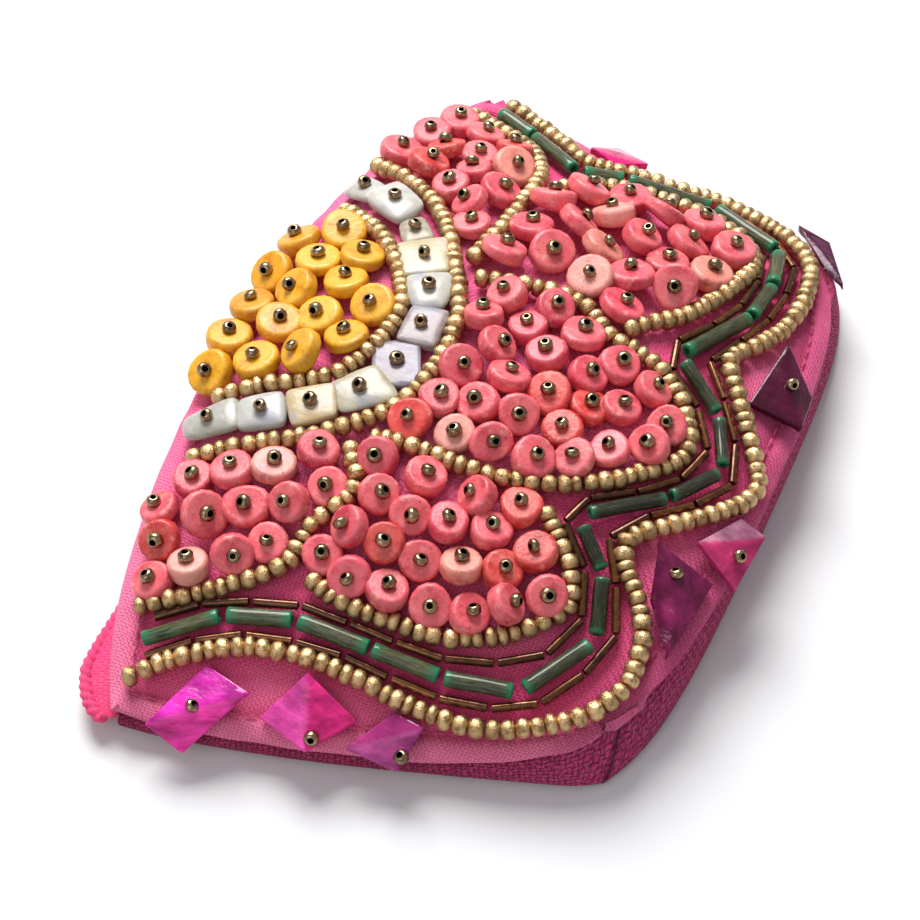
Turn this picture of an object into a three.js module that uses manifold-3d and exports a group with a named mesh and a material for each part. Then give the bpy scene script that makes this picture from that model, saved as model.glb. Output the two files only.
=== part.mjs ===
// A bead-embroidered zip wallet lying on its back: a puffed cotton front panel over a hollow tray of coarse
// cloth, a zip along one long edge, and half a flower of beads, shell and glass sewn on the panel.
// Millimetres, +Z up. X runs from the zip to the base, Y along the zip.
import * as THREE from "three";
import { mergeVertices } from "three/addons/utils/BufferGeometryUtils.js";
import Module from "manifold-3d";

const wasm = await Module();
wasm.setup();

// Driving dimensions
const GAP = 0.3; // clearance between pieces that touch
const CLOTH = { panel: 1.4, tray: 1.5, tape: 0.9 };
const ZIP_EDGE = { middle: -36.2, lean: 0.3, bow: 9.1, ends: 2 }; // x at the middle, and how its ends draw in
const ZIP_TUCK = { depth: 5, from: -0.97, to: -0.62 }; // the zip lies under the puffed edge, past the near ear
const BASE_EDGE = { middle: 41.5, bow: 2.5, corner: 3 };
const FLOOR_EDGE = { middle: 41.4, bow: 1, corner: 4, zipInset: 1 };
const CROWN_POWER = 2.3; // how square the puffed cross section is
const GOLD = { radius: 1.2, step: 7 };
const BUGLE = { radius: 0.48, step: 5.6 };
const STEM = { radius: 1.2, gap: 0.4 };
const DISC = { radius: 2.48, thick: 2.1, sides: 9, taper: 0.84, clear: 3.95 };
const FIELD = { pitch: 5.1, threadRadius: 0.3, threadLift: 1 };
const CHIP = { long: 6.3, wide: 5.4, corner: 1.5, table: 0.78 };
const SHELL = { thick: 1.6, table: 0.55, sewn: 2.4, lift: 1.7 };
const COIL = { radius: 0.9, sides: 6, step: 8 };
const SLIDER = { long: 8, wide: 2.6, high: 2.6, at: 0.78 };

// Cross sections from the zip edge (along 0) to the base (along 1): middle line, half length of the panel and
// of the floor, height of the crown and of the edge
const SECTIONS = [
  { along: 0, middle: -2.5, half: 60, floorHalf: 60, crown: 12.3, edge: 5 },
  { along: 0.12, middle: -2.2, half: 59.2, floorHalf: 59.2, crown: 16, edge: 4.5 },
  { along: 0.4, middle: -1.2, half: 55.8, floorHalf: 55.8, crown: 19, edge: 4.2 },
  { along: 0.7, middle: 0.4, half: 51.5, floorHalf: 51.5, crown: 17.5, edge: 4.8 },
  { along: 0.88, middle: 1.1, half: 47.4, floorHalf: 48.5, crown: 14.2, edge: 7 },
  { along: 0.95, middle: 1.5, half: 44.5, floorHalf: 47.3, crown: 12.4, edge: 8.5 },
  { along: 1, middle: 1.5, half: 38.5, floorHalf: 45.5, crown: 10.5, edge: 9.5 },
];

// Routes of the gold bead strings on the panel, seen from above
const GOLD_ROUTES = {
  ring_inner: [[-32.4, -18.9], [-25.3, -15.2], [-18.2, -11.4], [-14.6, -4], [-14.4, 2.6], [-18.4, 10],
    [-24.4, 16], [-31.7, 19.6]],
  ring_outer: [[-31, -28.9], [-23, -24.6], [-14.4, -19.8], [-7.6, -13], [-5.6, -5], [-6.4, 4], [-11, 13.2],
    [-18, 23.2], [-26, 28.8], [-32.4, 31.4]],
  petal_1: [[-10.2, -21.6], [-7.4, -26.6], [-10.4, -32.6], [-11.4, -38.6], [-16.6, -43.2], [-27.6, -50.2]],
  petal_2: [[-7.8, -39], [-3.2, -40.3], [4.2, -40.2], [12, -39], [19.2, -35.2], [24.2, -29.4], [22.4, -24.6],
    [16.9, -19.2]],
  petal_3: [[-8, -18.6], [-3, -17.9], [4.4, -17.9], [10.9, -16.8], [18.2, -13.9], [24.4, -8.9], [29.4, -1.6],
    [26.4, 5.2], [19.6, 9.6], [13.8, 10.4], [8, 14], [1, 13.8], [-6, 12.1]],
  petal_4: [[-5, 36.9], [-0.6, 41.2], [5.7, 43.7], [14, 44.5], [21.4, 42], [25.4, 37], [24.6, 29.6],
    [21.2, 20.3], [15.8, 13.9]],
  petal_5: [[-8.9, 17.4], [-8.2, 23.6], [-8, 31], [-8.6, 38], [-11.8, 44], [-18, 47.4], [-25, 50]],
  scallop: [[-24.7, -59], [-19.6, -54.4], [-13, -50.4], [-5.7, -48.4], [3, -47.9], [12, -48], [20, -47],
    [27, -43.9], [33, -39.2], [35.1, -33], [32.9, -25.6], [28.4, -20.2], [27.7, -17.2], [30.8, -13.4],
    [35.4, -8.6], [39.6, -0.8], [36.2, 5.6], [31.6, 12], [29.2, 16.6], [31.8, 21.6], [33.8, 27.4], [34, 35.6],
    [32.4, 41.8], [28.9, 45.6], [23, 48.8], [15.4, 50.8], [9, 49.8], [3, 49], [-4.2, 47], [-8.4, 49.4], [-14, 53],
    [-21.2, 56.2]],
};

// Routes of the two lines of glass bugles, on either side of the stem
const BUGLE_ROUTES = {
  inner: [[-24.9, -50.6], [-17.6, -45.5], [-12.8, -44.1], [-7.6, -42.6], [-2.4, -42.2], [2.7, -42.1], [11.9, -41.4],
    [18, -39.4], [24.4, -35.3], [26.4, -29.6], [24.5, -24.1], [20.6, -20.2], [17.9, -16.7], [22.6, -13.2],
    [26.6, -9.5], [31.1, -3.9], [31.9, 0.4], [29.6, 5], [26.2, 7.9], [20.6, 12.3], [23.2, 17.6], [26.3, 24.6],
    [27.2, 33], [25.8, 40.2]],
  outer: [[-23.6, -55.4], [-16, -49.7], [-9.4, -47.4], [-2, -46.2], [5, -46], [13, -45.7], [20, -44.3],
    [24.6, -42.4], [28.4, -37.4], [31.3, -31.4], [29.6, -25.2], [25.3, -18.4], [27.1, -14.2], [32.6, -8.6],
    [36.6, -1.2], [34.6, 4.2], [30.6, 9.9], [26.8, 14.6], [30.5, 24], [31.6, 33.4], [30.2, 41.2], [24.6, 45.8],
    [20.4, 47.8]],
};

// Joints of the green stem: one tube bead lies between each two of them
const STEM_JOINTS = [[-24.6, -53.6], [-16.1, -47.3], [-7, -44.6], [3.4, -44.1], [13.1, -43.6], [22.9, -41.3],
  [29.2, -31.6], [26.6, -23.2], [20.6, -17.6], [30, -9], [34.8, -1.2], [31.2, 6.6], [23, 12.6], [28.9, 25.4],
  [29.4, 33.6], [27.6, 42.2], [15.6, 47.8], [2, 46], [-4.6, 43.1], [-14.2, 49.4], [-21, 52.6]];

// Fields of disc beads: a point inside, how far the packing reaches from it, and the turn of its rows
const FIELDS = [
  { name: "petal_beads_1", heart: [-20.4, -33.6], reach: 16, turn: 36, colour: "coral" },
  { name: "petal_beads_2", heart: [4.8, -30.8], reach: 20, turn: 8, colour: "coral" },
  { name: "petal_beads_3", heart: [9.6, -2.6], reach: 20, turn: 12, colour: "coral" },
  { name: "petal_beads_4", heart: [9, 30.4], reach: 20, turn: 22, colour: "coral" },
  { name: "petal_beads_5", heart: [-19.4, 37.6], reach: 18, turn: 12, colour: "coral" },
  { name: "centre_beads", heart: [-28.2, 0.2], reach: 18, turn: 90, colour: "mustard" },
];

// Pearl chips between the rings: share of the full size along and across the ring, height, and turn
const CHIPS = [
  { along: 1.05, across: 0.95, thick: 2.6, turn: 8 },
  { along: 0.9, across: 1, thick: 2.4, turn: -4 },
  { along: 0.95, across: 0.9, thick: 2.2, turn: 5 },
  { along: 1.05, across: 0.95, thick: 2, turn: -8 },
  { along: 0.85, across: 0.95, thick: 1.8, turn: 20 },
  { along: 0.85, across: 0.85, thick: 2.2, turn: 6 },
  { along: 1, across: 0.9, thick: 2.6, turn: -6 },
  { along: 0.95, across: 0.95, thick: 2.2, turn: 4 },
  { along: 0.75, across: 0.8, thick: 1.8, turn: -10 },
  { along: 1.05, across: 1, thick: 2.6, turn: 6 },
  { along: 0.7, across: 0.9, thick: 1.8, turn: 0 },
];

// Shell diamonds sewn along the hem: their corners, seen from above
const SHELLS = [
  [[-19.4, -63], [-13.7, -64.3], [-8.4, -54.6], [-15.5, -53.6]],
  [[-6.5, -56.7], [0.9, -58], [5.5, -52.3], [-2.6, -49.7]],
  [[5.2, -55.6], [12.3, -55.5], [13.6, -49.6], [9.2, -49.5]],
  [[33.4, -23.3], [38.1, -30.1], [39.8, -17], [31.2, -16.3]],
  [[35.6, -13.4], [42.6, -15.8], [43, -7], [39.5, -5.8]],
  [[34, 11.2], [41.6, 10.9], [41.4, 17.8], [35, 23.3]],
  [[36.2, 40.2], [38.3, 38.8], [33.4, 48.2], [28.2, 49.6]],
  [[-1, 50.2], [3.2, 52.4], [-3, 57], [-5.6, 50.6]],
];

// Profile of the zip tape: how far it stands out of the zip edge, and its share of the height up to the panel
const TAPE_PROFILE = [
  { out: -1.2, rise: 0 },
  { out: 1.8, rise: 0.1 },
  { out: 3, rise: 0.42 },
  { out: 2, rise: 0.78 },
  { out: -0.8, rise: 1 },
];

const COLOURS = {
  cotton: { color: 0xd8689a, roughness: 0.9, metalness: 0 },
  weave: { color: 0xb23a6a, roughness: 0.95, metalness: 0 },
  tape: { color: 0xe8356f, roughness: 0.85, metalness: 0 },
  coil: { color: 0xe0224f, roughness: 0.7, metalness: 0 },
  brass: { color: 0x8f7a4e, roughness: 0.35, metalness: 1 },
  coral: { color: 0xe8636e, roughness: 0.45, metalness: 0 },
  mustard: { color: 0xe3a01e, roughness: 0.45, metalness: 0 },
  pearl: { color: 0xd9d4c8, roughness: 0.2, metalness: 0 },
  magenta: { color: 0xc4229a, roughness: 0.12, metalness: 0 },
  green: { color: 0x3f7a55, roughness: 0.5, metalness: 0 },
  gold: { color: 0xc9a262, roughness: 0.35, metalness: 1 },
  copper: { color: 0x6b3a20, roughness: 0.15, metalness: 0.3 },
};

// Smooth interpolation of one column of the section table
function column(name) {
  const slope = (i) => {
    const a = SECTIONS[Math.max(i - 1, 0)];
    const b = SECTIONS[Math.min(i + 1, SECTIONS.length - 1)];
    return (b[name] - a[name]) / (b.along - a.along);
  };
  return (along) => {
    const t = THREE.MathUtils.clamp(along, 0, 1);
    let i = 0;
    while (i < SECTIONS.length - 2 && t > SECTIONS[i + 1].along) i += 1;
    const span = SECTIONS[i + 1].along - SECTIONS[i].along;
    const s = (t - SECTIONS[i].along) / span;
    const rise = s * s * (3 - 2 * s);
    const tangents = span * (slope(i) * s * (1 - s) ** 2 - slope(i + 1) * s * s * (1 - s));
    return SECTIONS[i][name] * (1 - rise) + SECTIONS[i + 1][name] * rise + tangents;
  };
}

const middleAt = column("middle");
const halfAt = column("half");
const floorHalfAt = column("floorHalf");
const crownAt = column("crown");
const edgeAt = column("edge");
const zipX = (v) => ZIP_EDGE.middle - ZIP_EDGE.lean * v + ZIP_EDGE.bow * v ** 2 + ZIP_EDGE.ends * v ** 4;
const tuckAt = (v) => ZIP_TUCK.depth * THREE.MathUtils.smoothstep(v, ZIP_TUCK.from, ZIP_TUCK.to);
const baseX = (v) => BASE_EDGE.middle - BASE_EDGE.bow * v ** 2 - BASE_EDGE.corner * v ** 6;
const floorX = (v) => FLOOR_EDGE.middle - FLOOR_EDGE.bow * v ** 2 - FLOOR_EDGE.corner * v ** 6;

// Point of the panel's upper face: u runs from the zip to the base, v from the near end to the far end
function panelPoint(u, v) {
  const x = THREE.MathUtils.lerp(zipX(v), baseX(v), u);
  const puff = 1 - Math.min(Math.abs(v), 1) ** CROWN_POWER;
  return new THREE.Vector3(x, middleAt(u) + v * halfAt(u), THREE.MathUtils.lerp(edgeAt(u), crownAt(u), puff));
}

// Panel coordinates of a point seen from above, found by repeated correction
function locate(x, y) {
  let u = 0.5;
  let v = 0;
  for (let i = 0; i < 24; i += 1) {
    v = THREE.MathUtils.clamp((y - middleAt(u)) / halfAt(u), -1.2, 1.2);
    u = (x - zipX(v)) / (baseX(v) - zipX(v));
  }
  return { u, v };
}

// Point over the panel at a height above its cloth
function onPanel(x, y, lift) {
  const { u, v } = locate(x, y);
  return new THREE.Vector3(x, y, panelPoint(THREE.MathUtils.clamp(u, 0, 1), v).z + lift);
}

// Frame on the panel: Z along the cloth's normal, X turned from the X axis
function panelFrame(x, y, lift, turn) {
  const probe = 0.5;
  const dx = onPanel(x + probe, y, 0).sub(onPanel(x - probe, y, 0));
  const dy = onPanel(x, y + probe, 0).sub(onPanel(x, y - probe, 0));
  const normal = dx.cross(dy).normalize();
  const flat = new THREE.Vector3(Math.cos(turn), Math.sin(turn), 0);
  const side = normal.clone().cross(flat).normalize();
  const frame = new THREE.Matrix4().makeBasis(side.clone().cross(normal), side, normal);
  return frame.setPosition(onPanel(x, y, 0).addScaledVector(normal, lift));
}

// Solid of a geometry, and geometry of a solid, for joins
function toSolid(geometry) {
  const bare = new THREE.BufferGeometry().setAttribute("position", geometry.getAttribute("position"));
  if (geometry.index) bare.setIndex(geometry.index);
  const merged = mergeVertices(bare, 1e-4);
  const triVerts = new Uint32Array(merged.index.array);
  return new wasm.Manifold(
    new wasm.Mesh({ numProp: 3, vertProperties: merged.attributes.position.array, triVerts }),
  );
}

function toGeometry(solid) {
  const mesh = solid.getMesh();
  const geometry = new THREE.BufferGeometry();
  geometry.setAttribute("position", new THREE.BufferAttribute(mesh.vertProperties, 3));
  geometry.setIndex(new THREE.BufferAttribute(mesh.triVerts, 1));
  return geometry;
}

// Closed skin over rings of an even number of points: each ring joins the next, and strips close the ends
function skinRings(rings) {
  const count = rings[0].length;
  const index = [];
  const quad = (a, b, c, d) => index.push(a, b, c, a, c, d);
  for (let r = 0; r < rings.length - 1; r += 1)
    for (let i = 0; i < count; i += 1) {
      const here = r * count;
      const next = here + count;
      const j = (i + 1) % count;
      quad(here + i, here + j, next + j, next + i);
    }
  const end = (rings.length - 1) * count;
  for (let i = 0; i < count / 2 - 1; i += 1) {
    const [a, b, c, d] = [i, i + 1, count - 2 - i, count - 1 - i];
    quad(d, c, b, a);
    quad(end + a, end + b, end + c, end + d);
  }
  return new THREE.BufferGeometry().setFromPoints(rings.flat()).setIndex(index);
}

// Smooth curve through the points of a route, seen from above
function flatCurve(route) {
  const points = route.map(([x, y]) => new THREE.Vector3(x, y, 0));
  return new THREE.CatmullRomCurve3(points, false, "centripetal");
}

// Points of a route at even steps
function stepsAlong(route, step) {
  const curve = flatCurve(route);
  return curve.getSpacedPoints(Math.max(3, Math.round(curve.getLength() / step)));
}

// Tube of a string: its route is lifted onto the panel and drawn with straight steps
function stringGeometry(route, radius, step) {
  const laid = stepsAlong(route, step).map((p) => onPanel(p.x, p.y, GAP + 0.1 + radius));
  const section = new THREE.Shape(new THREE.EllipseCurve(0, 0, radius, radius).getPoints(8).slice(0, 8));
  const path = new THREE.CatmullRomCurve3(laid, false, "centripetal");
  return new THREE.ExtrudeGeometry(section, { steps: laid.length - 1, extrudePath: path, bevelEnabled: false });
}

// Front panel: a grid on the puffed surface, and the same grid one thickness below
function panelGeometry() {
  const rows = 11;
  const columns = 12;
  const top = [];
  for (let i = 0; i <= rows; i += 1)
    for (let j = 0; j <= columns; j += 1) top.push(panelPoint(i / rows, (2 * j) / columns - 1));
  const at = (i, j) => i * (columns + 1) + j;
  const under = top.map((p) => p.clone().setZ(p.z - CLOTH.panel));
  const points = [...top, ...under];
  const index = [];
  const quad = (a, b, c, d) => index.push(a, b, c, a, c, d);
  for (let i = 0; i < rows; i += 1)
    for (let j = 0; j < columns; j += 1) {
      const corners = [at(i, j), at(i + 1, j), at(i + 1, j + 1), at(i, j + 1)];
      quad(...corners);
      quad(...corners.map((k) => k + top.length).reverse());
    }
  const rim = [];
  for (let i = 0; i < rows; i += 1) rim.push(at(i, 0));
  for (let j = 0; j < columns; j += 1) rim.push(at(rows, j));
  for (let i = rows; i > 0; i -= 1) rim.push(at(i, columns));
  for (let j = columns; j > 0; j -= 1) rim.push(at(0, j));
  rim.forEach((a, k) => {
    const b = rim[(k + 1) % rim.length];
    quad(a + top.length, b + top.length, b, a);
  });
  return new THREE.BufferGeometry().setFromPoints(points).setIndex(index);
}

// Panel coordinates round its outline, from the near zip corner past the base and back
function outline() {
  const sides = [
    { steps: 11, from: [0, -1], to: [1, -1] },
    { steps: 12, from: [1, -1], to: [1, 1] },
    { steps: 11, from: [1, 1], to: [0, 1] },
    { steps: 12, from: [0, 1], to: [0, -1] },
  ];
  return sides.flatMap(({ steps, from, to }) =>
    Array.from({ length: steps }, (_, i) => [
      THREE.MathUtils.lerp(from[0], to[0], i / steps),
      THREE.MathUtils.lerp(from[1], to[1], i / steps),
    ]),
  );
}

// Point of the tray's floor outline
function floorPoint(u, v) {
  const x = THREE.MathUtils.lerp(zipX(v) + FLOOR_EDGE.zipInset + tuckAt(v), floorX(v), u);
  return new THREE.Vector3(x, middleAt(u) + v * floorHalfAt(u), 0);
}

// Point of the hem that the tray's rim follows: under the panel's edge, and tucked in along the zip
function hemPoint(u, v) {
  const hem = panelPoint(u, v);
  hem.x += tuckAt(v) * (1 - THREE.MathUtils.smoothstep(u, 0, 0.15));
  return hem;
}

// Body tray: a flat back, a rounded bottom edge, and walls that rise to the panel's hem
const TRAY = { foot: 2, bend: 1.7, rimInset: 0.9, rimDrop: 0.7, wall: 2, zipRim: 2.6 };

function trayGeometry() {
  const centre = new THREE.Vector3((ZIP_EDGE.middle + BASE_EDGE.middle) / 2, SECTIONS[0].middle / 2, 0);
  const inward = (p, distance, z) => {
    const away = new THREE.Vector3(centre.x - p.x, centre.y - p.y, 0).setLength(distance);
    return new THREE.Vector3(p.x + away.x, p.y + away.y, z);
  };
  const ring = (place) => outline().map(([u, v]) => place(u, v));
  const rimHeight = (u, v) => {
    const hem = panelPoint(u, v).z - CLOTH.panel - TRAY.rimDrop;
    return THREE.MathUtils.lerp(TRAY.zipRim, hem, THREE.MathUtils.smoothstep(u, 0, 0.15));
  };
  return skinRings(
    [
      ring((u, v) => inward(floorPoint(u, v), TRAY.foot, 0)),
      ring((u, v) => inward(floorPoint(u, v), 0, TRAY.bend)),
      ring((u, v) => inward(hemPoint(u, v), TRAY.rimInset, rimHeight(u, v))),
      ring((u, v) => inward(hemPoint(u, v), TRAY.rimInset + TRAY.wall, rimHeight(u, v))),
      ring((u, v) => inward(floorPoint(u, v), TRAY.foot + TRAY.wall, CLOTH.tray)),
    ],
  );
}

// Way that the zip stands out: away from the zip edge, turned past the corner at its two ends
function zipOutward(v) {
  const swing = THREE.MathUtils.smoothstep(Math.abs(v), 0.86, 1) * Math.sign(v);
  return new THREE.Vector3(-1, 0.9 * swing, 0).normalize();
}

// Point of the zip: out of the edge and up from the tray's rim towards the panel
function zipPoint(v, out, rise) {
  const edge = panelPoint(tuckAt(v) / (baseX(v) - zipX(v)), v);
  const low = TRAY.zipRim + GAP;
  const high = edge.z - CLOTH.panel - 2 * GAP;
  return edge.addScaledVector(zipOutward(v), out).setZ(THREE.MathUtils.lerp(low, high, rise));
}

const ZIP_STATIONS = 16;

function tapeGeometry() {
  const rings = [];
  for (let i = 0; i <= ZIP_STATIONS; i += 1) {
    const v = (2 * i) / ZIP_STATIONS - 1;
    const outer = TAPE_PROFILE.map(({ out, rise }) => zipPoint(v, out, rise));
    const inner = TAPE_PROFILE.map(({ out, rise }) => zipPoint(v, out - CLOTH.tape, rise));
    rings.push([...outer, ...inner.reverse()]);
  }
  return skinRings(rings);
}

const COIL_OUT = 3 + COIL.radius + GAP;
const COIL_RISE = 0.42;

function coilGeometry() {
  const points = [];
  for (let i = 0; i <= ZIP_STATIONS; i += 1)
    points.push(zipPoint(THREE.MathUtils.lerp(-1, SLIDER.at - 0.09, i / ZIP_STATIONS), COIL_OUT, COIL_RISE));
  const path = new THREE.CatmullRomCurve3(points, false, "centripetal");
  const ring = new THREE.EllipseCurve(0, 0, COIL.radius, COIL.radius).getPoints(COIL.sides);
  const steps = Math.round(path.getLength() / COIL.step);
  const section = new THREE.Shape(ring.slice(0, COIL.sides));
  return new THREE.ExtrudeGeometry(section, { steps, extrudePath: path, bevelEnabled: false });
}

// Slider: a waisted block, drawn in plan and raised, standing beside the end of the coil
function sliderGeometry() {
  const { long, wide, high } = SLIDER;
  const shape = new THREE.Shape();
  shape.moveTo(-long / 2, -wide / 3);
  shape.quadraticCurveTo(-long / 2, -wide / 2, -long / 4, -wide / 2);
  shape.quadraticCurveTo(0, -wide / 3, long / 4, -wide / 2);
  shape.lineTo(long / 2, -wide / 4);
  shape.lineTo(long / 2, wide / 4);
  shape.lineTo(long / 4, wide / 2);
  shape.quadraticCurveTo(0, wide / 3, -long / 4, wide / 2);
  shape.quadraticCurveTo(-long / 2, wide / 2, -long / 2, wide / 3);
  return new THREE.ExtrudeGeometry(shape, { depth: high, curveSegments: 4, bevelEnabled: false });
}

// Close points along the straight steps of every gold string, which bound the fields of discs
const fences = Object.values(GOLD_ROUTES).map((route) => {
  const steps = stepsAlong(route, GOLD.step).map((p) => new THREE.Vector2(p.x, p.y));
  const between = (p, i) => [0, 0.2, 0.4, 0.6, 0.8].map((t) => p.clone().lerp(steps[i + 1] ?? p, t));
  return steps.flatMap(between);
});

// Whether two straight lines cross
function crosses(a, b, c, d) {
  const side = (p, q, r) => (q.x - p.x) * (r.y - p.y) - (q.y - p.y) * (r.x - p.x);
  return side(a, b, c) * side(a, b, d) < 0 && side(c, d, a) * side(c, d, b) < 0;
}

// Places of the discs of a field: a hexagonal packing round its heart, kept where no string stands between
function fieldPlaces({ heart, reach, turn }) {
  const centre = new THREE.Vector2(...heart);
  const places = [];
  const rows = Math.ceil((reach / FIELD.pitch) * 1.2);
  for (let row = -rows; row <= rows; row += 1)
    for (let step = -rows; step <= rows; step += 1) {
      const local = new THREE.Vector2(step + (Math.abs(row) % 2) / 2, (row * Math.sqrt(3)) / 2);
      const spin = THREE.MathUtils.degToRad(turn);
      const place = local.multiplyScalar(FIELD.pitch).rotateAround(new THREE.Vector2(), spin).add(centre);
      const { u, v } = locate(place.x, place.y);
      const inside = u > 0.03 && u < 1 && Math.abs(v) < 0.97 && place.distanceTo(centre) < reach;
      const open = fences.every((line) =>
        line.every(
          (p, i) => p.distanceTo(place) > DISC.clear && (i === 0 || !crosses(centre, place, line[i - 1], p)),
        ),
      );
      if (inside && open) places.push(place);
    }
  return places;
}

// Thread between two discs, a thin prism on the cloth that joins the field into one body
function threadSolid(a, b) {
  const from = onPanel(a.x, a.y, GAP);
  const to = onPanel(b.x, b.y, GAP);
  const bar = new THREE.CylinderGeometry(FIELD.threadRadius, FIELD.threadRadius, from.distanceTo(to), 3);
  const along = to.clone().sub(from).normalize();
  const lift = new THREE.Vector3(0, 0, FIELD.threadLift);
  const side = new THREE.Vector3(0, 0, 1).cross(along).normalize();
  const frame = new THREE.Matrix4().makeBasis(side, along, side.clone().cross(along));
  frame.setPosition(from.add(to).multiplyScalar(0.5).add(lift));
  return toSolid(bar.applyMatrix4(frame));
}

// Field of discs, each joined by a thread to the nearest disc already laid
function fieldGeometry(field) {
  const places = fieldPlaces(field);
  const { radius, thick, sides, taper } = DISC;
  let solid = null;
  places.forEach((place, i) => {
    const laid = places.slice(0, Math.max(i, 1));
    const near = laid.reduce((a, b) => (b.distanceTo(place) < a.distanceTo(place) ? b : a));
    const facing = Math.atan2(near.y - place.y, near.x - place.x);
    const disc = new THREE.CylinderGeometry(radius * taper, radius, thick, sides).rotateX(Math.PI / 2);
    const laidDisc = toSolid(disc.applyMatrix4(panelFrame(place.x, place.y, GAP + 0.1 + thick / 2, facing)));
    solid = solid === null ? laidDisc : solid.add(laidDisc).add(threadSolid(place, near));
  });
  return toGeometry(solid.simplify(0.01));
}

// Plate with cut corners and a bevelled upper face
function plateGeometry(long, wide, corner, thick, table) {
  const ring = (share, z) =>
    [[1, -1, 0], [1, -1, 1], [1, 1, 1], [1, 1, 0], [-1, 1, 0], [-1, 1, 1], [-1, -1, 1], [-1, -1, 0]].map(
      ([sx, sy, onSide]) => {
        const x = long / 2 - (onSide ? 0 : corner);
        const y = wide / 2 - (onSide ? corner : 0);
        return new THREE.Vector3(sx * x * share, sy * y * share, z);
      },
    );
  return skinRings([ring(1, -thick / 2), ring(1, thick * 0.1), ring(table, thick / 2)]);
}

// Mesh with its own material
function piece(name, geometry, colour) {
  const mesh = new THREE.Mesh(geometry, new THREE.MeshStandardMaterial(COLOURS[colour]));
  mesh.name = name;
  return mesh;
}

// Mesh seated on the panel
function seated(mesh, x, y, lift, turn) {
  panelFrame(x, y, lift, turn).decompose(mesh.position, mesh.quaternion, mesh.scale);
  return mesh;
}

const numbered = (name, i) => `${name}_${String(i + 1).padStart(2, "0")}`;

// Tube beads of the stem, shortened where two of them meet at an angle
function stemTubes() {
  const joints = STEM_JOINTS.map(([x, y]) => new THREE.Vector2(x, y));
  const shorten = joints.map((joint, i) => {
    if (i === 0 || i === joints.length - 1) return 0;
    const before = joints[i - 1].clone().sub(joint).normalize();
    const after = joints[i + 1].clone().sub(joint).normalize();
    const half = Math.acos(THREE.MathUtils.clamp(before.dot(after), -1, 1)) / 2;
    return STEM.gap + STEM.radius / Math.tan(half);
  });
  return joints.slice(1).map((end, i) => {
    const start = joints[i];
    const way = end.clone().sub(start).normalize();
    const a = start.clone().addScaledVector(way, shorten[i]);
    const b = end.clone().addScaledVector(way, -shorten[i + 1]);
    const from = onPanel(a.x, a.y, GAP + STEM.radius + 0.15);
    const to = onPanel(b.x, b.y, GAP + STEM.radius + 0.15);
    const tube = new THREE.CylinderGeometry(STEM.radius, STEM.radius, from.distanceTo(to), 8);
    const mesh = piece(numbered("stem_tube", i), tube, "green");
    mesh.position.copy(from).add(to).multiplyScalar(0.5);
    mesh.quaternion.setFromUnitVectors(new THREE.Vector3(0, 1, 0), to.sub(from).normalize());
    return mesh;
  });
}

// Pearl chips, evenly spaced on the line midway between the two rings
function pearlChips() {
  const inner = flatCurve(GOLD_ROUTES.ring_inner);
  const outer = flatCurve(GOLD_ROUTES.ring_outer);
  const midway = (t) => inner.getPointAt(t).add(outer.getPointAt(t)).multiplyScalar(0.5);
  return CHIPS.map(({ along, across, thick, turn }, i) => {
    const t = (i + 0.35) / (CHIPS.length - 0.3);
    const place = midway(t);
    const way = midway(Math.min(t + 0.01, 1)).sub(midway(Math.max(t - 0.01, 0)));
    const plate = plateGeometry(CHIP.long * along, CHIP.wide * across, CHIP.corner, thick, CHIP.table);
    const mesh = piece(numbered("pearl_chip", i), plate, "pearl");
    const heading = Math.atan2(way.y, way.x) + THREE.MathUtils.degToRad(turn / 3);
    return seated(mesh, place.x, place.y, GAP + 0.15 + thick / 2, heading);
  });
}

// Shell diamonds: each lies in the slope of the cloth just inside it, so that it runs out over the hem
function shellDiamonds() {
  return SHELLS.map((corners, i) => {
    const outline = corners.map(([x, y]) => new THREE.Vector3(x, y, 0));
    const centre = outline.reduce((sum, p) => sum.addScaledVector(p, 1 / outline.length), new THREE.Vector3());
    const root = centre.clone().setLength(centre.length() - SHELL.sewn);
    const frame = panelFrame(root.x, root.y, SHELL.lift, 0);
    const normal = new THREE.Vector3().setFromMatrixColumn(frame, 2);
    const plane = new THREE.Plane().setFromNormalAndCoplanarPoint(
      normal,
      new THREE.Vector3().setFromMatrixPosition(frame),
    );
    const seat = (p) => p.clone().setZ(-(plane.constant + normal.x * p.x + normal.y * p.y) / normal.z);
    const middle = seat(centre);
    const ring = (share, height) =>
      outline.map((p) => seat(p).sub(middle).multiplyScalar(share).addScaledVector(normal, height));
    const { thick, table } = SHELL;
    const plate = skinRings([ring(1, -thick / 2), ring(1, thick * 0.1), ring(table, thick / 2)]);
    const mesh = piece(numbered("shell_diamond", i), plate, "magenta");
    mesh.position.copy(middle);
    return mesh;
  });
}

// The slider stands beside the tape, in line with the coil
function zipSlider() {
  const mesh = piece("zip_slider", sliderGeometry(), "brass");
  const ahead = zipPoint(SLIDER.at + 0.02, 0, 0).sub(zipPoint(SLIDER.at - 0.02, 0, 0));
  const place = zipPoint(SLIDER.at, 3.2 + GAP + SLIDER.wide / 2, COIL_RISE);
  mesh.position.set(place.x, place.y, place.z - SLIDER.high / 2 - GAP);
  mesh.rotation.z = Math.atan2(ahead.y, ahead.x);
  return mesh;
}

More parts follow.
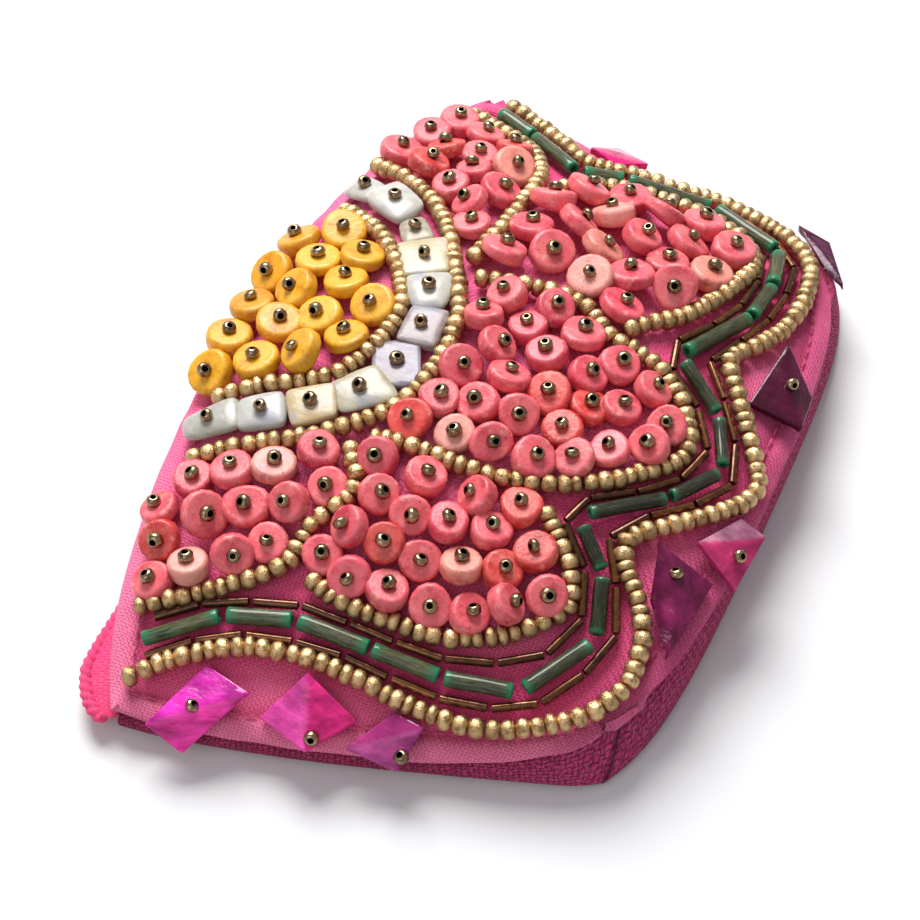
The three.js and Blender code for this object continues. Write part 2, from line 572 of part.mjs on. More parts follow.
const wallet = new THREE.Group();
wallet.add(piece("front_panel", panelGeometry(), "cotton"));
wallet.add(piece("body_tray", trayGeometry(), "weave"));
wallet.add(piece("zip_tape", tapeGeometry(), "tape"));
wallet.add(piece("zip_coil", coilGeometry(), "coil"));
wallet.add(zipSlider());
for (const [name, route] of Object.entries(GOLD_ROUTES))
  wallet.add(piece(`gold_${name}`, stringGeometry(route, GOLD.radius, GOLD.step), "gold"));
for (const [name, route] of Object.entries(BUGLE_ROUTES))
  wallet.add(piece(`bugles_${name}`, stringGeometry(route, BUGLE.radius, BUGLE.step), "copper"));
for (const field of FIELDS) wallet.add(piece(field.name, fieldGeometry(field), field.colour));
wallet.add(...pearlChips(), ...shellDiamonds(), ...stemTubes());

// The origin is under the middle of the whole wallet, on the surface that it lies on
const box = new THREE.Box3().setFromObject(wallet, true);
const middle = box.getCenter(new THREE.Vector3());
wallet.position.set(-middle.x, -middle.y, -box.min.z);

const part = new THREE.Group();
part.add(wallet);
export default part;
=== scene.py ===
"""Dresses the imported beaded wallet: puffed cotton front, woven body, zip end, beads, shell and studio.

Sizes are in millimetres in the layout of the solids, +X from the zip to the base and +Y along the zip.
They become metres when a mesh is made.
"""

from __future__ import annotations

import logging
import math
from dataclasses import dataclass
from enum import Enum, IntEnum
from typing import Callable, Sequence, Union

import bpy
import numpy as np
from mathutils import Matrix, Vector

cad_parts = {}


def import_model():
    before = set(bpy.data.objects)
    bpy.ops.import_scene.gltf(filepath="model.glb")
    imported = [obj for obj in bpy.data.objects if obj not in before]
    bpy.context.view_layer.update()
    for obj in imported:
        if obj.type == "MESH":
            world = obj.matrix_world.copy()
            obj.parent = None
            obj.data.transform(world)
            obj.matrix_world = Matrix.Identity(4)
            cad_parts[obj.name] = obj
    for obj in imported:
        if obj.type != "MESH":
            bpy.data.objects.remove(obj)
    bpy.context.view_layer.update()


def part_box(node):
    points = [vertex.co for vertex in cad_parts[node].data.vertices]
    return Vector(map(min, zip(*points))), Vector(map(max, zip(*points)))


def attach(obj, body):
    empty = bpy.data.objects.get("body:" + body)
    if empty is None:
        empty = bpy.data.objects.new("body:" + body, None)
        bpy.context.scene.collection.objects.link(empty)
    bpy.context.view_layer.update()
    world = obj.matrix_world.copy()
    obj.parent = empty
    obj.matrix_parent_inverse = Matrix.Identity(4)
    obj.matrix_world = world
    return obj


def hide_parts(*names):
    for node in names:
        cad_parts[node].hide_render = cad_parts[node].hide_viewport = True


LOG = logging.getLogger("beaded_wallet")
Array = np.ndarray
Colour = tuple[float, float, float]
Object = bpy.types.Object
Socket = bpy.types.NodeSocket
Value = Union[Socket, float, Sequence[float]]
BODY = "root"
MM_PER_METRE = 1000
FULL_TURN = 6.28
NOWHERE = 1e6
UP = np.array([0, 0, 1.0])
# Height of the sewn beads above the cloth
GAP = 0.3
# Middle of the outline seen from above
HUB = np.array([1.5, -1.5, 0.0])
# Share of the way to the base over which the zip edge is tucked in
MOUTH = 0.15


class Seed(IntEnum):
    """Where the random draws of each kind of piece start."""

    GOLD = 40
    BUGLES = 80
    STEM = 120
    DISCS = 200
    TIPPED = 260
    PEARLS = 300
    PEBBLES = 320
    DIAMONDS = 340


class Slot(Enum):
    """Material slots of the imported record."""

    COTTON = "pink_cotton"
    WEAVE = "rose_weave"
    TAPE = "zip_tape"
    COIL = "zip_coil"
    METAL = "slider_metal"
    CORAL = "coral_bead"
    MUSTARD = "mustard_bead"
    PEARL = "pearl_chip"
    SHELL = "dyed_shell"
    GREEN = "green_bone"
    GOLD = "gold_bead"
    COPPER = "copper_glass"


@dataclass(frozen=True)
class Section:
    """One cross section of the wallet, from the zip edge (along 0) to the base (along 1)."""

    along: float
    middle: float
    half: float
    floor_half: float
    crown: float
    edge: float


SECTIONS = (
    Section(0, -2.5, 60, 60, 12.3, 5),
    Section(0.12, -2.2, 59.2, 59.2, 16, 4.5),
    Section(0.4, -1.2, 55.8, 55.8, 19, 4.2),
    Section(0.7, 0.4, 51.5, 51.5, 17.5, 4.8),
    Section(0.88, 1.1, 47.4, 48.5, 14.2, 7),
    Section(0.95, 1.5, 44.5, 47.3, 12.4, 8.5),
    Section(1, 1.5, 38.5, 45.5, 10.5, 9.5),
)

Route = tuple[tuple[float, float], ...]

GOLD_ROUTES: dict[str, Route] = {
    "ring_inner": (
        (-32.4, -18.9), (-25.3, -15.2), (-18.2, -11.4), (-14.6, -4), (-14.4, 2.6), (-18.4, 10),
        (-24.4, 16), (-31.7, 19.6),
    ),
    "ring_outer": (
        (-31, -28.9), (-23, -24.6), (-14.4, -19.8), (-7.6, -13), (-5.6, -5), (-6.4, 4),
        (-11, 13.2), (-18, 23.2), (-26, 28.8), (-32.4, 31.4),
    ),
    "petal_1": (
        (-10.2, -21.6), (-7.4, -26.6), (-10.4, -32.6), (-11.4, -38.6), (-16.6, -43.2),
        (-27.6, -50.2),
    ),
    "petal_2": (
        (-7.8, -39), (-3.2, -40.3), (4.2, -40.2), (12, -39), (19.2, -35.2), (24.2, -29.4),
        (22.4, -24.6), (16.9, -19.2),
    ),
    "petal_3": (
        (-8, -18.6), (-3, -17.9), (4.4, -17.9), (10.9, -16.8), (18.2, -13.9), (24.4, -8.9),
        (29.4, -1.6), (26.4, 5.2), (19.6, 9.6), (13.8, 10.4), (8, 14), (1, 13.8), (-6, 12.1),
    ),
    "petal_4": (
        (-5, 36.9), (-0.6, 41.2), (5.7, 43.7), (14, 44.5), (21.4, 42), (25.4, 37), (24.6, 29.6),
        (21.2, 20.3), (15.8, 13.9),
    ),
    "petal_5": (
        (-8.9, 17.4), (-8.2, 23.6), (-8, 31), (-8.6, 38), (-11.8, 44), (-18, 47.4), (-25, 50),
    ),
    "scallop": (
        (-24.7, -59), (-19.6, -54.4), (-13, -50.4), (-5.7, -48.4), (3, -47.9), (12, -48),
        (20, -47), (27, -43.9), (33, -39.2), (35.1, -33), (32.9, -25.6), (28.4, -20.2),
        (27.7, -17.2), (30.8, -13.4), (35.4, -8.6), (39.6, -0.8), (36.2, 5.6), (31.6, 12),
        (29.2, 16.6), (31.8, 21.6), (33.8, 27.4), (34, 35.6), (32.4, 41.8), (28.9, 45.6),
        (23, 48.8), (15.4, 50.8), (9, 49.8), (3, 49), (-4.2, 47), (-8.4, 49.4), (-14, 53),
        (-21.2, 56.2),
    ),
}

BUGLE_ROUTES: dict[str, Route] = {
    "inner": (
        (-24.9, -50.6), (-17.6, -45.5), (-12.8, -44.1), (-7.6, -42.6), (-2.4, -42.2), (2.7, -42.1),
        (11.9, -41.4), (18, -39.4), (24.4, -35.3), (26.4, -29.6), (24.5, -24.1), (20.6, -20.2),
        (17.9, -16.7), (22.6, -13.2), (26.6, -9.5), (31.1, -3.9), (31.9, 0.4), (29.6, 5),
        (26.2, 7.9), (20.6, 12.3), (23.2, 17.6), (26.3, 24.6), (27.2, 33), (25.8, 40.2),
    ),
    "outer": (
        (-23.6, -55.4), (-16, -49.7), (-9.4, -47.4), (-2, -46.2), (5, -46), (13, -45.7),
        (20, -44.3), (24.6, -42.4), (28.4, -37.4), (31.3, -31.4), (29.6, -25.2), (25.3, -18.4),
        (27.1, -14.2), (32.6, -8.6), (36.6, -1.2), (34.6, 4.2), (30.6, 9.9), (26.8, 14.6),
        (30.5, 24), (31.6, 33.4), (30.2, 41.2), (24.6, 45.8), (20.4, 47.8),
    ),
}

STEM_JOINTS: Route = (
    (-24.6, -53.6), (-16.1, -47.3), (-7, -44.6), (3.4, -44.1), (13.1, -43.6), (22.9, -41.3),
    (29.2, -31.6), (26.6, -23.2), (20.6, -17.6), (30, -9), (34.8, -1.2), (31.2, 6.6), (23, 12.6),
    (28.9, 25.4), (29.4, 33.6), (27.6, 42.2), (15.6, 47.8), (2, 46), (-4.6, 43.1), (-14.2, 49.4),
    (-21, 52.6),
)


class PuffedFront:
    """The puffed surface that every bead is sewn to, with the outline of the tray below it."""

    crown_power = 2.3
    box_middle = (2.65, -2.5, 0.0)
    rounds = 24
    beyond = 1.2
    probe = 0.5

    def __init__(self, sections: Sequence[Section]) -> None:
        """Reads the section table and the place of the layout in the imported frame.

        Args:
            sections: Cross sections from the zip edge to the base.
        """
        self.knots = np.array([s.along for s in sections], float)
        self.columns = {
            name: np.array([getattr(s, name) for s in sections], float)
            for name in ("middle", "half", "floor_half", "crown", "edge")
        }
        low, high = (np.array(corner) * MM_PER_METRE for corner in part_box("front_panel"))
        self.offset = ((low + high) / 2 - self.box_middle) * [1, 1, 0]

    def column(self, name: str, along: Array) -> Array:
        """Interpolates one column smoothly.

        Args:
            name: Column of the section table.
            along: Places from 0 at the zip to 1 at the base.

        Returns:
            The column's values there.
        """
        knots, values = self.knots, self.columns[name]
        last = len(knots) - 1
        before = np.maximum(np.arange(last + 1) - 1, 0)
        after = np.minimum(np.arange(last + 1) + 1, last)
        slopes = (values[after] - values[before]) / (knots[after] - knots[before])
        t = np.clip(np.asarray(along, float), 0, 1)
        i = np.clip(np.searchsorted(knots, t, side="left") - 1, 0, last - 1)
        span = knots[i + 1] - knots[i]
        s = (t - knots[i]) / span
        rise = s * s * (3 - 2 * s)
        tangents = span * (slopes[i] * s * (1 - s) ** 2 - slopes[i + 1] * s * s * (1 - s))
        return values[i] * (1 - rise) + values[i + 1] * rise + tangents

    @staticmethod
    def zip_x(v: Array) -> Array:
        """Returns the zip edge's x."""
        return -36.2 - 0.3 * v + 9.1 * v**2 + 2 * v**4

    @staticmethod
    def tuck(v: Array) -> Array:
        """Returns how far the zip lies in under the puffed edge, past the near ear."""
        return 5 * ease((v + 0.97) / 0.35)

    @staticmethod
    def base_x(v: Array) -> Array:
        """Returns the base edge's x."""
        return 41.5 - 2.5 * v**2 - 3 * v**6

    @staticmethod
    def floor_x(v: Array) -> Array:
        """Returns the base's x on the floor."""
        return 41.4 - v**2 - 4 * v**6

    def point(self, u: Array, v: Array) -> Array:
        """Returns points of the surface.

        Args:
            u: Places from the zip to the base.
            v: Places from the near end, -1, to the far end, 1.

        Returns:
            Layout points, one row each.
        """
        u, v = np.broadcast_arrays(np.asarray(u, float), np.asarray(v, float))
        x = self.zip_x(v) + (self.base_x(v) - self.zip_x(v)) * u
        y = self.column("middle", u) + v * self.column("half", u)
        puff = 1 - np.minimum(np.abs(v), 1) ** self.crown_power
        edge = self.column("edge", u)
        return np.stack([x, y, edge + (self.column("crown", u) - edge) * puff], axis=-1)

    def floor(self, u: Array, v: Array) -> Array:
        """Returns points of the tray's outline on the floor."""
        u, v = np.broadcast_arrays(np.asarray(u, float), np.asarray(v, float))
        start = self.zip_x(v) + 1 + self.tuck(v)
        x = start + (self.floor_x(v) - start) * u
        y = self.column("middle", u) + v * self.column("floor_half", u)
        return np.stack([x, y, np.zeros_like(x)], axis=-1)

    def hem(self, u: Array, v: Array) -> Array:
        """Returns points of the hem that the tray's rim follows, tucked in along the zip."""
        points = self.point(u, v)
        points[..., 0] += self.tuck(np.asarray(v, float)) * (1 - ease(np.asarray(u, float) / MOUTH))
        return points

    def locate(self, flat: Array) -> tuple[Array, Array]:
        """Finds the panel coordinates of points seen from above.

        Args:
            flat: Layout x and y, one row each.

        Returns:
            The coordinates u and v.
        """
        x, y = flat[..., 0], flat[..., 1]
        u = np.full(x.shape, 0.5)
        v = np.zeros(x.shape)
        for _ in range(self.rounds):
            v = (y - self.column("middle", u)) / self.column("half", u)
            v = np.clip(v, -self.beyond, self.beyond)
            u = (x - self.zip_x(v)) / (self.base_x(v) - self.zip_x(v))
        return u, v

    def lay(self, flat: Array, lift: float = 0.0) -> Array:
        """Lays flat points on the cloth.

        Args:
            flat: Layout x and y, one row each.
            lift: Height above the cloth.

        Returns:
            Layout points.
        """
        flat = np.asarray(flat, float)
        u, v = self.locate(flat)
        z = self.point(np.clip(u, 0, 1), v)[..., 2] + lift
        return np.concatenate([flat, z[..., None]], axis=-1)

    def normal(self, flat: Array) -> Array:
        """Returns the cloth's unit normals at flat points."""
        flat = np.asarray(flat, float)
        dx, dy = np.eye(2) * self.probe
        across = self.lay(flat + dx) - self.lay(flat - dx)
        away = self.lay(flat + dy) - self.lay(flat - dy)
        return unit(np.cross(across, away))

    def rim(self, steps: int) -> tuple[Array, Array]:
        """Returns panel coordinates round the outline, from the near zip corner past the base."""
        t = np.arange(steps) / steps
        near = np.stack([t, -np.ones(steps)], 1)
        base = np.stack([np.ones(steps), 2 * t - 1], 1)
        far = np.stack([1 - t, np.ones(steps)], 1)
        mouth = np.stack([np.zeros(steps), 1 - 2 * t], 1)
        ring = np.concatenate([near, base, far, mouth])
        return ring[:, 0], ring[:, 1]


def ease(share: Array) -> Array:
    """Returns a smooth rise from 0 to 1."""
    t = np.clip(share, 0, 1)
    return t * t * (3 - 2 * t)


def unit(vectors: Array) -> Array:
    """Returns vectors of length one."""
    return vectors / np.maximum(np.linalg.norm(vectors, axis=-1, keepdims=True), 1e-9)


def smooth_route(route: Sequence[Sequence[float]], step: float = 0.2) -> Array:
    """Draws a centripetal curve through the points of a route.

    Args:
        route: Points of any dimension.
        step: Distance between the samples.

    Returns:
        Evenly spaced points.
    """
    knots = np.asarray(route, float)
    ends = np.concatenate([[2 * knots[0] - knots[1]], knots, [2 * knots[-1] - knots[-2]]])
    pieces = []
    t = np.linspace(0, 1, 40, endpoint=False)[:, None]
    for p0, p1, p2, p3 in zip(ends, ends[1:], ends[2:], ends[3:]):
        d0, d1, d2 = (math.sqrt(np.linalg.norm(b - a)) for a, b in ((p0, p1), (p1, p2), (p2, p3)))
        m1 = d1 * ((p1 - p0) / d0 - (p2 - p0) / (d0 + d1) + (p2 - p1) / d1)
        m2 = d1 * ((p2 - p1) / d1 - (p3 - p1) / (d1 + d2) + (p3 - p2) / d2)
        cubic = 2 * p1 - 2 * p2 + m1 + m2
        square = -3 * p1 + 3 * p2 - 2 * m1 - m2
        pieces.append(((cubic * t + square) * t + m1) * t + p1)
    dense = np.concatenate([*pieces, knots[-1:]])
    return respace(dense, step)


def distances(points: Array) -> Array:
    """Returns the distance along a line at each of its points."""
    return np.concatenate([[0], np.cumsum(np.linalg.norm(np.diff(points, axis=0), axis=1))])


def sample(points: Array, run: Array, places: Array) -> Array:
    """Returns the points of a line at given distances.

    Args:
        points: Points of the line.
        run: Their distances along it.
        places: The distances asked for.

    Returns:
        One row for each distance.
    """
    return np.stack([np.interp(places, run, column) for column in points.T], axis=1)


def respace(points: Array, step: float) -> Array:
    """Returns points at even steps along a line."""
    run = distances(points)
    places = np.linspace(0, run[-1], max(3, int(round(run[-1] / step)) + 1))
    return sample(points, run, places)


def unrolled(first: Array, second: Array) -> Array:
    """Returns flat cloth coordinates from two sets of distances that span a grid."""
    return np.stack(np.broadcast_arrays(first, second, 0.0), -1).reshape(-1, 3)


def cut_corners(rings: Array, times: int) -> Array:
    """Rounds an open profile by cutting its corners, and keeps its ends.

    Args:
        rings: Profile points along the first axis.
        times: How often the corners are cut.

    Returns:
        The rounded profile.
    """
    for _ in range(times):
        first, second = 0.75 * rings[:-1] + 0.25 * rings[1:], 0.25 * rings[:-1] + 0.75 * rings[1:]
        middle = np.stack([first, second], axis=1).reshape(-1, *rings.shape[1:])
        rings = np.concatenate([rings[:1], middle, rings[-1:]])
    return rings


@dataclass
class Pattern:
    """A small modelled shape, kept as arrays so that it can be repeated."""

    points: Array
    corners: Array
    starts: Array
    totals: Array

    @classmethod
    def take(cls, piece: Object) -> "Pattern":
        """Reads a finished object into arrays and removes it.

        Args:
            piece: Object that was modelled.

        Returns:
            The shape's arrays.
        """
        mesh = piece.data
        points = np.empty(len(mesh.vertices) * 3)
        mesh.vertices.foreach_get("co", points)
        arrays = [points.reshape(-1, 3)]
        for parts, name in (
            (mesh.loops, "vertex_index"),
            (mesh.polygons, "loop_start"),
            (mesh.polygons, "loop_total"),
        ):
            numbers = np.empty(len(parts), int)
            parts.foreach_get(name, numbers)
            arrays.append(numbers)
        bpy.data.objects.remove(piece)
        bpy.data.meshes.remove(mesh)
        return cls(*arrays)

    def stamp(self, frames: Array, places: Array, shapes: Array | None = None) -> "Pattern":
        """Repeats the shape.

        Args:
            frames: One 3 by 3 matrix for each copy, whose columns are the copy's scaled axes.
            places: The copies' middles.
            shapes: Each copy's own points, where they are uneven.

        Returns:
            All the copies as one shape.
        """
        count = len(places)
        blanks = shapes
        if shapes is None:
            blanks = np.broadcast_to(self.points, (count, *self.points.shape))
        moved = np.einsum("kij,knj->kni", frames, blanks) + places[:, None, :]
        shift = (np.arange(count) * len(self.points))[:, None]
        run = (np.arange(count) * len(self.corners))[:, None]
        return Pattern(
            moved.reshape(-1, 3),
            (self.corners[None] + shift).ravel(),
            (self.starts[None] + run).ravel(),
            np.tile(self.totals, count),
        )

    @classmethod
    def grid(cls, points: Array, round_first: bool = False, round_second: bool = False) -> "Pattern":
        """Makes a sheet of quads over a grid of points.

        Args:
            points: Rows and columns of points.
            round_first: Whether the last row joins the first.
            round_second: Whether the last column joins the first.

        Returns:
            The sheet.
        """
        rows, columns = points.shape[:2]
        i = np.arange(rows if round_first else rows - 1)[:, None]
        j = np.arange(columns if round_second else columns - 1)[None]
        above, below, beside = i * columns, (i + 1) % rows * columns, (j + 1) % columns
        quads = np.stack([above + j, below + j, below + beside, above + beside], -1)
        corners = quads.reshape(-1)
        count = len(corners) // 4
        return cls(points.reshape(-1, 3), corners, np.arange(count) * 4, np.full(count, 4))

    def with_faces(self, faces: Sequence[Sequence[int]]) -> "Pattern":
        """Returns the shape with more faces on its own points."""
        flat = np.array([i for face in faces for i in face], int)
        totals = np.array([len(face) for face in faces], int)
        starts = len(self.corners) + np.concatenate([[0], np.cumsum(totals)[:-1]])
        return Pattern(
            self.points,
            np.concatenate([self.corners, flat]),
            np.concatenate([self.starts, starts]),
            np.concatenate([self.totals, totals]),
        )


class Bench:
    """The workbench: makes pieces from arrays, and small shapes with the modelling tools."""

    def __init__(self, front: PuffedFront) -> None:
        """Keeps the surface that the pieces lie on."""
        self.front = front

    def piece(self, name: str, shape: Pattern, finish: "Finish", smooth: float = 40.0,
              flat: bool = False) -> Object:
        """Makes an object from a shape in layout millimetres.

        Args:
            name: Name of the piece.
            shape: Its arrays.
            finish: Its material.
            smooth: Angle in degrees under which faces are shaded smooth.
            flat: Whether broad faces stay flat and only their edges are shaded round.

        Returns:
            The object, riding on the body.
        """
        mesh = bpy.data.meshes.new(name)
        mesh.vertices.add(len(shape.points))
        mesh.vertices.foreach_set("co", ((shape.points + self.front.offset) / MM_PER_METRE).ravel())
        mesh.loops.add(len(shape.corners))
        mesh.loops.foreach_set("vertex_index", shape.corners)
        mesh.polygons.add(len(shape.starts))
        mesh.polygons.foreach_set("loop_start", shape.starts)
        mesh.update(calc_edges=True)
        mesh.validate()
        piece = bpy.data.objects.new(name, mesh)
        bpy.context.collection.objects.link(piece)
        mesh.materials.append(finish.material())
        self.choose(piece)
        bpy.ops.object.mode_set(mode="EDIT")
        bpy.ops.mesh.select_all(action="SELECT")
        bpy.ops.mesh.normals_make_consistent(inside=False)
        bpy.ops.object.mode_set(mode="OBJECT")
        bpy.ops.object.shade_smooth_by_angle(angle=math.radians(smooth))
        if flat:
            self.modify(piece, "WEIGHTED_NORMAL", keep_sharp=True)
        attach(piece, BODY)
        LOG.info("%s: %d faces", name, len(mesh.polygons))
        return piece

    @staticmethod
    def choose(piece: Object) -> None:
        """Selects one object alone and makes it active."""
        bpy.ops.object.select_all(action="DESELECT")
        piece.select_set(True)
        bpy.context.view_layer.objects.active = piece

    @staticmethod
    def primitive(add: Callable, **settings) -> Object:
        """Adds a plain shape with an operator, selected alone, and returns it."""
        bpy.ops.object.select_all(action="DESELECT")
        add(**settings)
        return bpy.context.object

    @staticmethod
    def modify(piece: Object, kind: str, **settings) -> None:
        """Adds a modifier to the active object and applies it.

        Args:
            piece: The active object.
            kind: Type of the modifier.
            **settings: Its properties.
        """
        modifier = piece.modifiers.new(kind.lower(), kind)
        for name, value in settings.items():
            setattr(modifier, name, value)
        bpy.ops.object.modifier_apply(modifier=modifier.name)

    @staticmethod
    def paint(piece: Object, name: str, values: Array) -> None:
        """Stores values on a piece's points: one number, a vector or a colour for each.

        Args:
            piece: Object to paint.
            name: Name that its material reads.
            values: One row for each point.
        """
        values = np.asarray(values, float)
        kind = "FLOAT" if values.ndim == 1 else "FLOAT_VECTOR"
        attribute = piece.data.attributes.new(name, kind, "POINT")
        attribute.data.foreach_set("value" if kind == "FLOAT" else "vector", values.ravel())

    def bead(self, sides: int, flat: float, soften: float, steps: int, wall: float = 0.0) -> Pattern:
        """Models a bead: a cylinder with a rounded rim and, where it shows, a hole.

        Args:
            sides: Sides of the bead.
            flat: Half its length, as a share of its radius.
            soften: Width of the bevel on its rim.
            steps: Steps of that bevel.
            wall: Width of its end face from the rim to the hole, or 0 for no hole.

        Returns:
            The bead's shape, with radius 1 and half length 1.
        """
        def on_rim(edge: bpy.types.MeshEdge) -> bool:
            """Returns whether an edge lies on the outer rim of one end."""
            a, b = (bead.data.vertices[i].co for i in edge.vertices)
            level = abs(a.z) > 0.99 * flat and a.z * b.z > 0
            return level and min(a.xy.length, b.xy.length) > 0.98

        bead = self.primitive(bpy.ops.mesh.primitive_cylinder_add, vertices=sides, radius=1, depth=2 * flat)
        for side in (1, -1) if wall else ():
            self.pick(bead, "FACE", lambda face, s=side: face.normal.z * s > 0.9)
            bpy.ops.mesh.inset(thickness=wall)
            bpy.ops.mesh.extrude_region_move(TRANSFORM_OT_translate={"value": (0, 0, -0.5 * side)})
            bpy.ops.object.mode_set(mode="OBJECT")
        self.pick(bead, "EDGE", on_rim)
        bpy.ops.mesh.bevel(offset=soften, segments=steps)
        bpy.ops.object.mode_set(mode="OBJECT")
        shape = Pattern.take(bead)
        shape.points[:, 2] /= flat
        return shape

    def pick(self, piece: Object, kind: str, test: Callable) -> None:
        """Enters edit mode with the faces or edges selected that pass a test.

        Args:
            piece: Object to edit.
            kind: FACE or EDGE.
            test: Says whether a face or an edge is wanted.
        """
        self.choose(piece)
        bpy.ops.object.mode_set(mode="EDIT")
        bpy.ops.mesh.select_mode(type=kind)
        bpy.ops.mesh.select_all(action="DESELECT")
        bpy.ops.object.mode_set(mode="OBJECT")
        for part in piece.data.polygons if kind == "FACE" else piece.data.edges:
            part.select = bool(test(part))
        bpy.ops.object.mode_set(mode="EDIT")


class Graph:
    """A material's node tree, built with short calls."""

    ridge = 0.7

    def __init__(self, name: str) -> None:
        """Starts a material with one shader."""
        self.made = bpy.data.materials.new(name)
        self.made.use_nodes = True
        self.tree = self.made.node_tree
        self.shader = self.tree.nodes["Principled BSDF"]

    def put(self, socket: str, value: Value) -> None:
        """Sets or links an input of the shader."""
        self.feed(self.shader.inputs[socket], value)

    def feed(self, socket: Socket, value: Value) -> None:
        """Sets a socket to a value, or links it to another node."""
        if isinstance(value, Socket):
            self.tree.links.new(value, socket)
        elif isinstance(value, tuple) and len(value) == 3 and socket.type == "RGBA":
            socket.default_value = (*value, 1)
        else:
            socket.default_value = value

    def node(self, kind: str, inputs: dict | None = None, **settings) -> bpy.types.Node:
        """Adds a node.

        Args:
            kind: Type of the node, without its prefix.
            inputs: Values or sockets for its inputs.
            **settings: Its properties.

        Returns:
            The node.
        """
        made = self.tree.nodes.new("ShaderNode" + kind)
        for name, value in settings.items():
            setattr(made, name, value)
        for name, value in (inputs or {}).items():
            self.feed(made.inputs[name], value)
        return made

    def place(self) -> Socket:
        """Returns the piece's own coordinates in metres."""
        return self.node("TexCoord").outputs["Object"]

    def painted(self, name: str, output: str = "Vector") -> Socket:
        """Returns values that are stored on the piece's points."""
        return self.node("Attribute", attribute_name=name).outputs[output]

    def math(self, operation: str, a: Value, b: Value = 0.0) -> Socket:
        """Returns the result of a sum on one or two numbers."""
        return self.node("Math", {0: a, 1: b}, operation=operation).outputs[0]

    def vector(self, operation: str, a: Value, b: Value) -> Socket:
        """Returns the result of a sum on two vectors or colours."""
        return self.node("VectorMath", {0: a, 1: b}, operation=operation).outputs[0]

    def noise(self, where: Value, scale: float, detail: float, rough: float = 0.5) -> Socket:
        """Returns smooth noise from 0 to 1."""
        inputs = {"Vector": where, "Scale": scale, "Detail": detail, "Roughness": rough}
        return self.node("TexNoise", inputs).outputs["Fac"]

    def stretch(self, where: Value, scale: Colour) -> Socket:
        """Returns coordinates stretched by a scale."""
        return self.node("Mapping", {"Vector": where, "Scale": scale}).outputs[0]

    def between(self, value: Value, low: float, high: float, to_low: float = 0.0,
                to_high: float = 1.0) -> Socket:
        """Returns a value moved from one range to another and kept inside it."""
        inputs = {"Value": value, "From Min": low, "From Max": high, "To Min": to_low, "To Max": to_high}
        return self.node("MapRange", inputs).outputs["Result"]

    def mix(self, share: Value, a: Value, b: Value, blend: str = "MIX") -> Socket:
        """Returns a mixture of two colours."""
        made = self.node("Mix", {0: share, 6: a, 7: b}, data_type="RGBA", blend_type=blend)
        return made.outputs[2]

    def bump(self, height: Value, strength: float, distance: float,
             under: Value | None = None) -> Socket:
        """Returns a surface normal raised by a height in metres, over another normal where one is given."""
        inputs = {"Height": height, "Strength": strength, "Distance": distance}
        if under is not None:
            inputs["Normal"] = under
        return self.node("Bump", inputs).outputs["Normal"]

    def swayed(self, cloth: Value, scale: float, detail: float, sway: Colour) -> Socket:
        """Returns coordinates that sway a little, as hand-spun threads do."""
        inputs = {"Vector": cloth, "Scale": scale, "Detail": detail}
        wobble = self.node("TexNoise", inputs).outputs["Color"]
        return self.vector("ADD", cloth, self.vector("MULTIPLY", wobble, sway))

    def weave(self, threads: Value, pitch: float) -> tuple[Socket, Socket]:
        """Draws a plain weave.

        Args:
            threads: Coordinates in millimetres along the cloth.
            pitch: Distance between threads in millimetres.

        Returns:
            The height of the threads, and 1 where the first set of threads lies on top.
        """
        axes = self.node("SeparateXYZ", {0: threads}).outputs
        waves = [self.math("SINE", self.math("MULTIPLY", axes[k], math.pi / pitch)) for k in (0, 1)]
        over = self.math("GREATER_THAN", self.math("MULTIPLY", *waves), 0.0)
        first, second = (self.math("POWER", self.math("ABSOLUTE", wave), self.ridge) for wave in waves)
        split = self.node("Mix", {0: over, 2: second, 3: first}, data_type="FLOAT")
        return split.outputs[0], over


@dataclass(frozen=True)
class Finish:
    """A finish of one kind of piece; its material is made once."""

    name: str
    slot: Slot

    def material(self) -> bpy.types.Material:
        """Returns the finish's material, made at its first use."""
        found = bpy.data.materials.get(self.name)
        if found is not None:
            return found
        graph = Graph(self.name)
        self.dress(graph)
        return graph.made

    def dress(self, graph: Graph) -> None:
        """Builds the nodes of the finish."""
        raise NotImplementedError


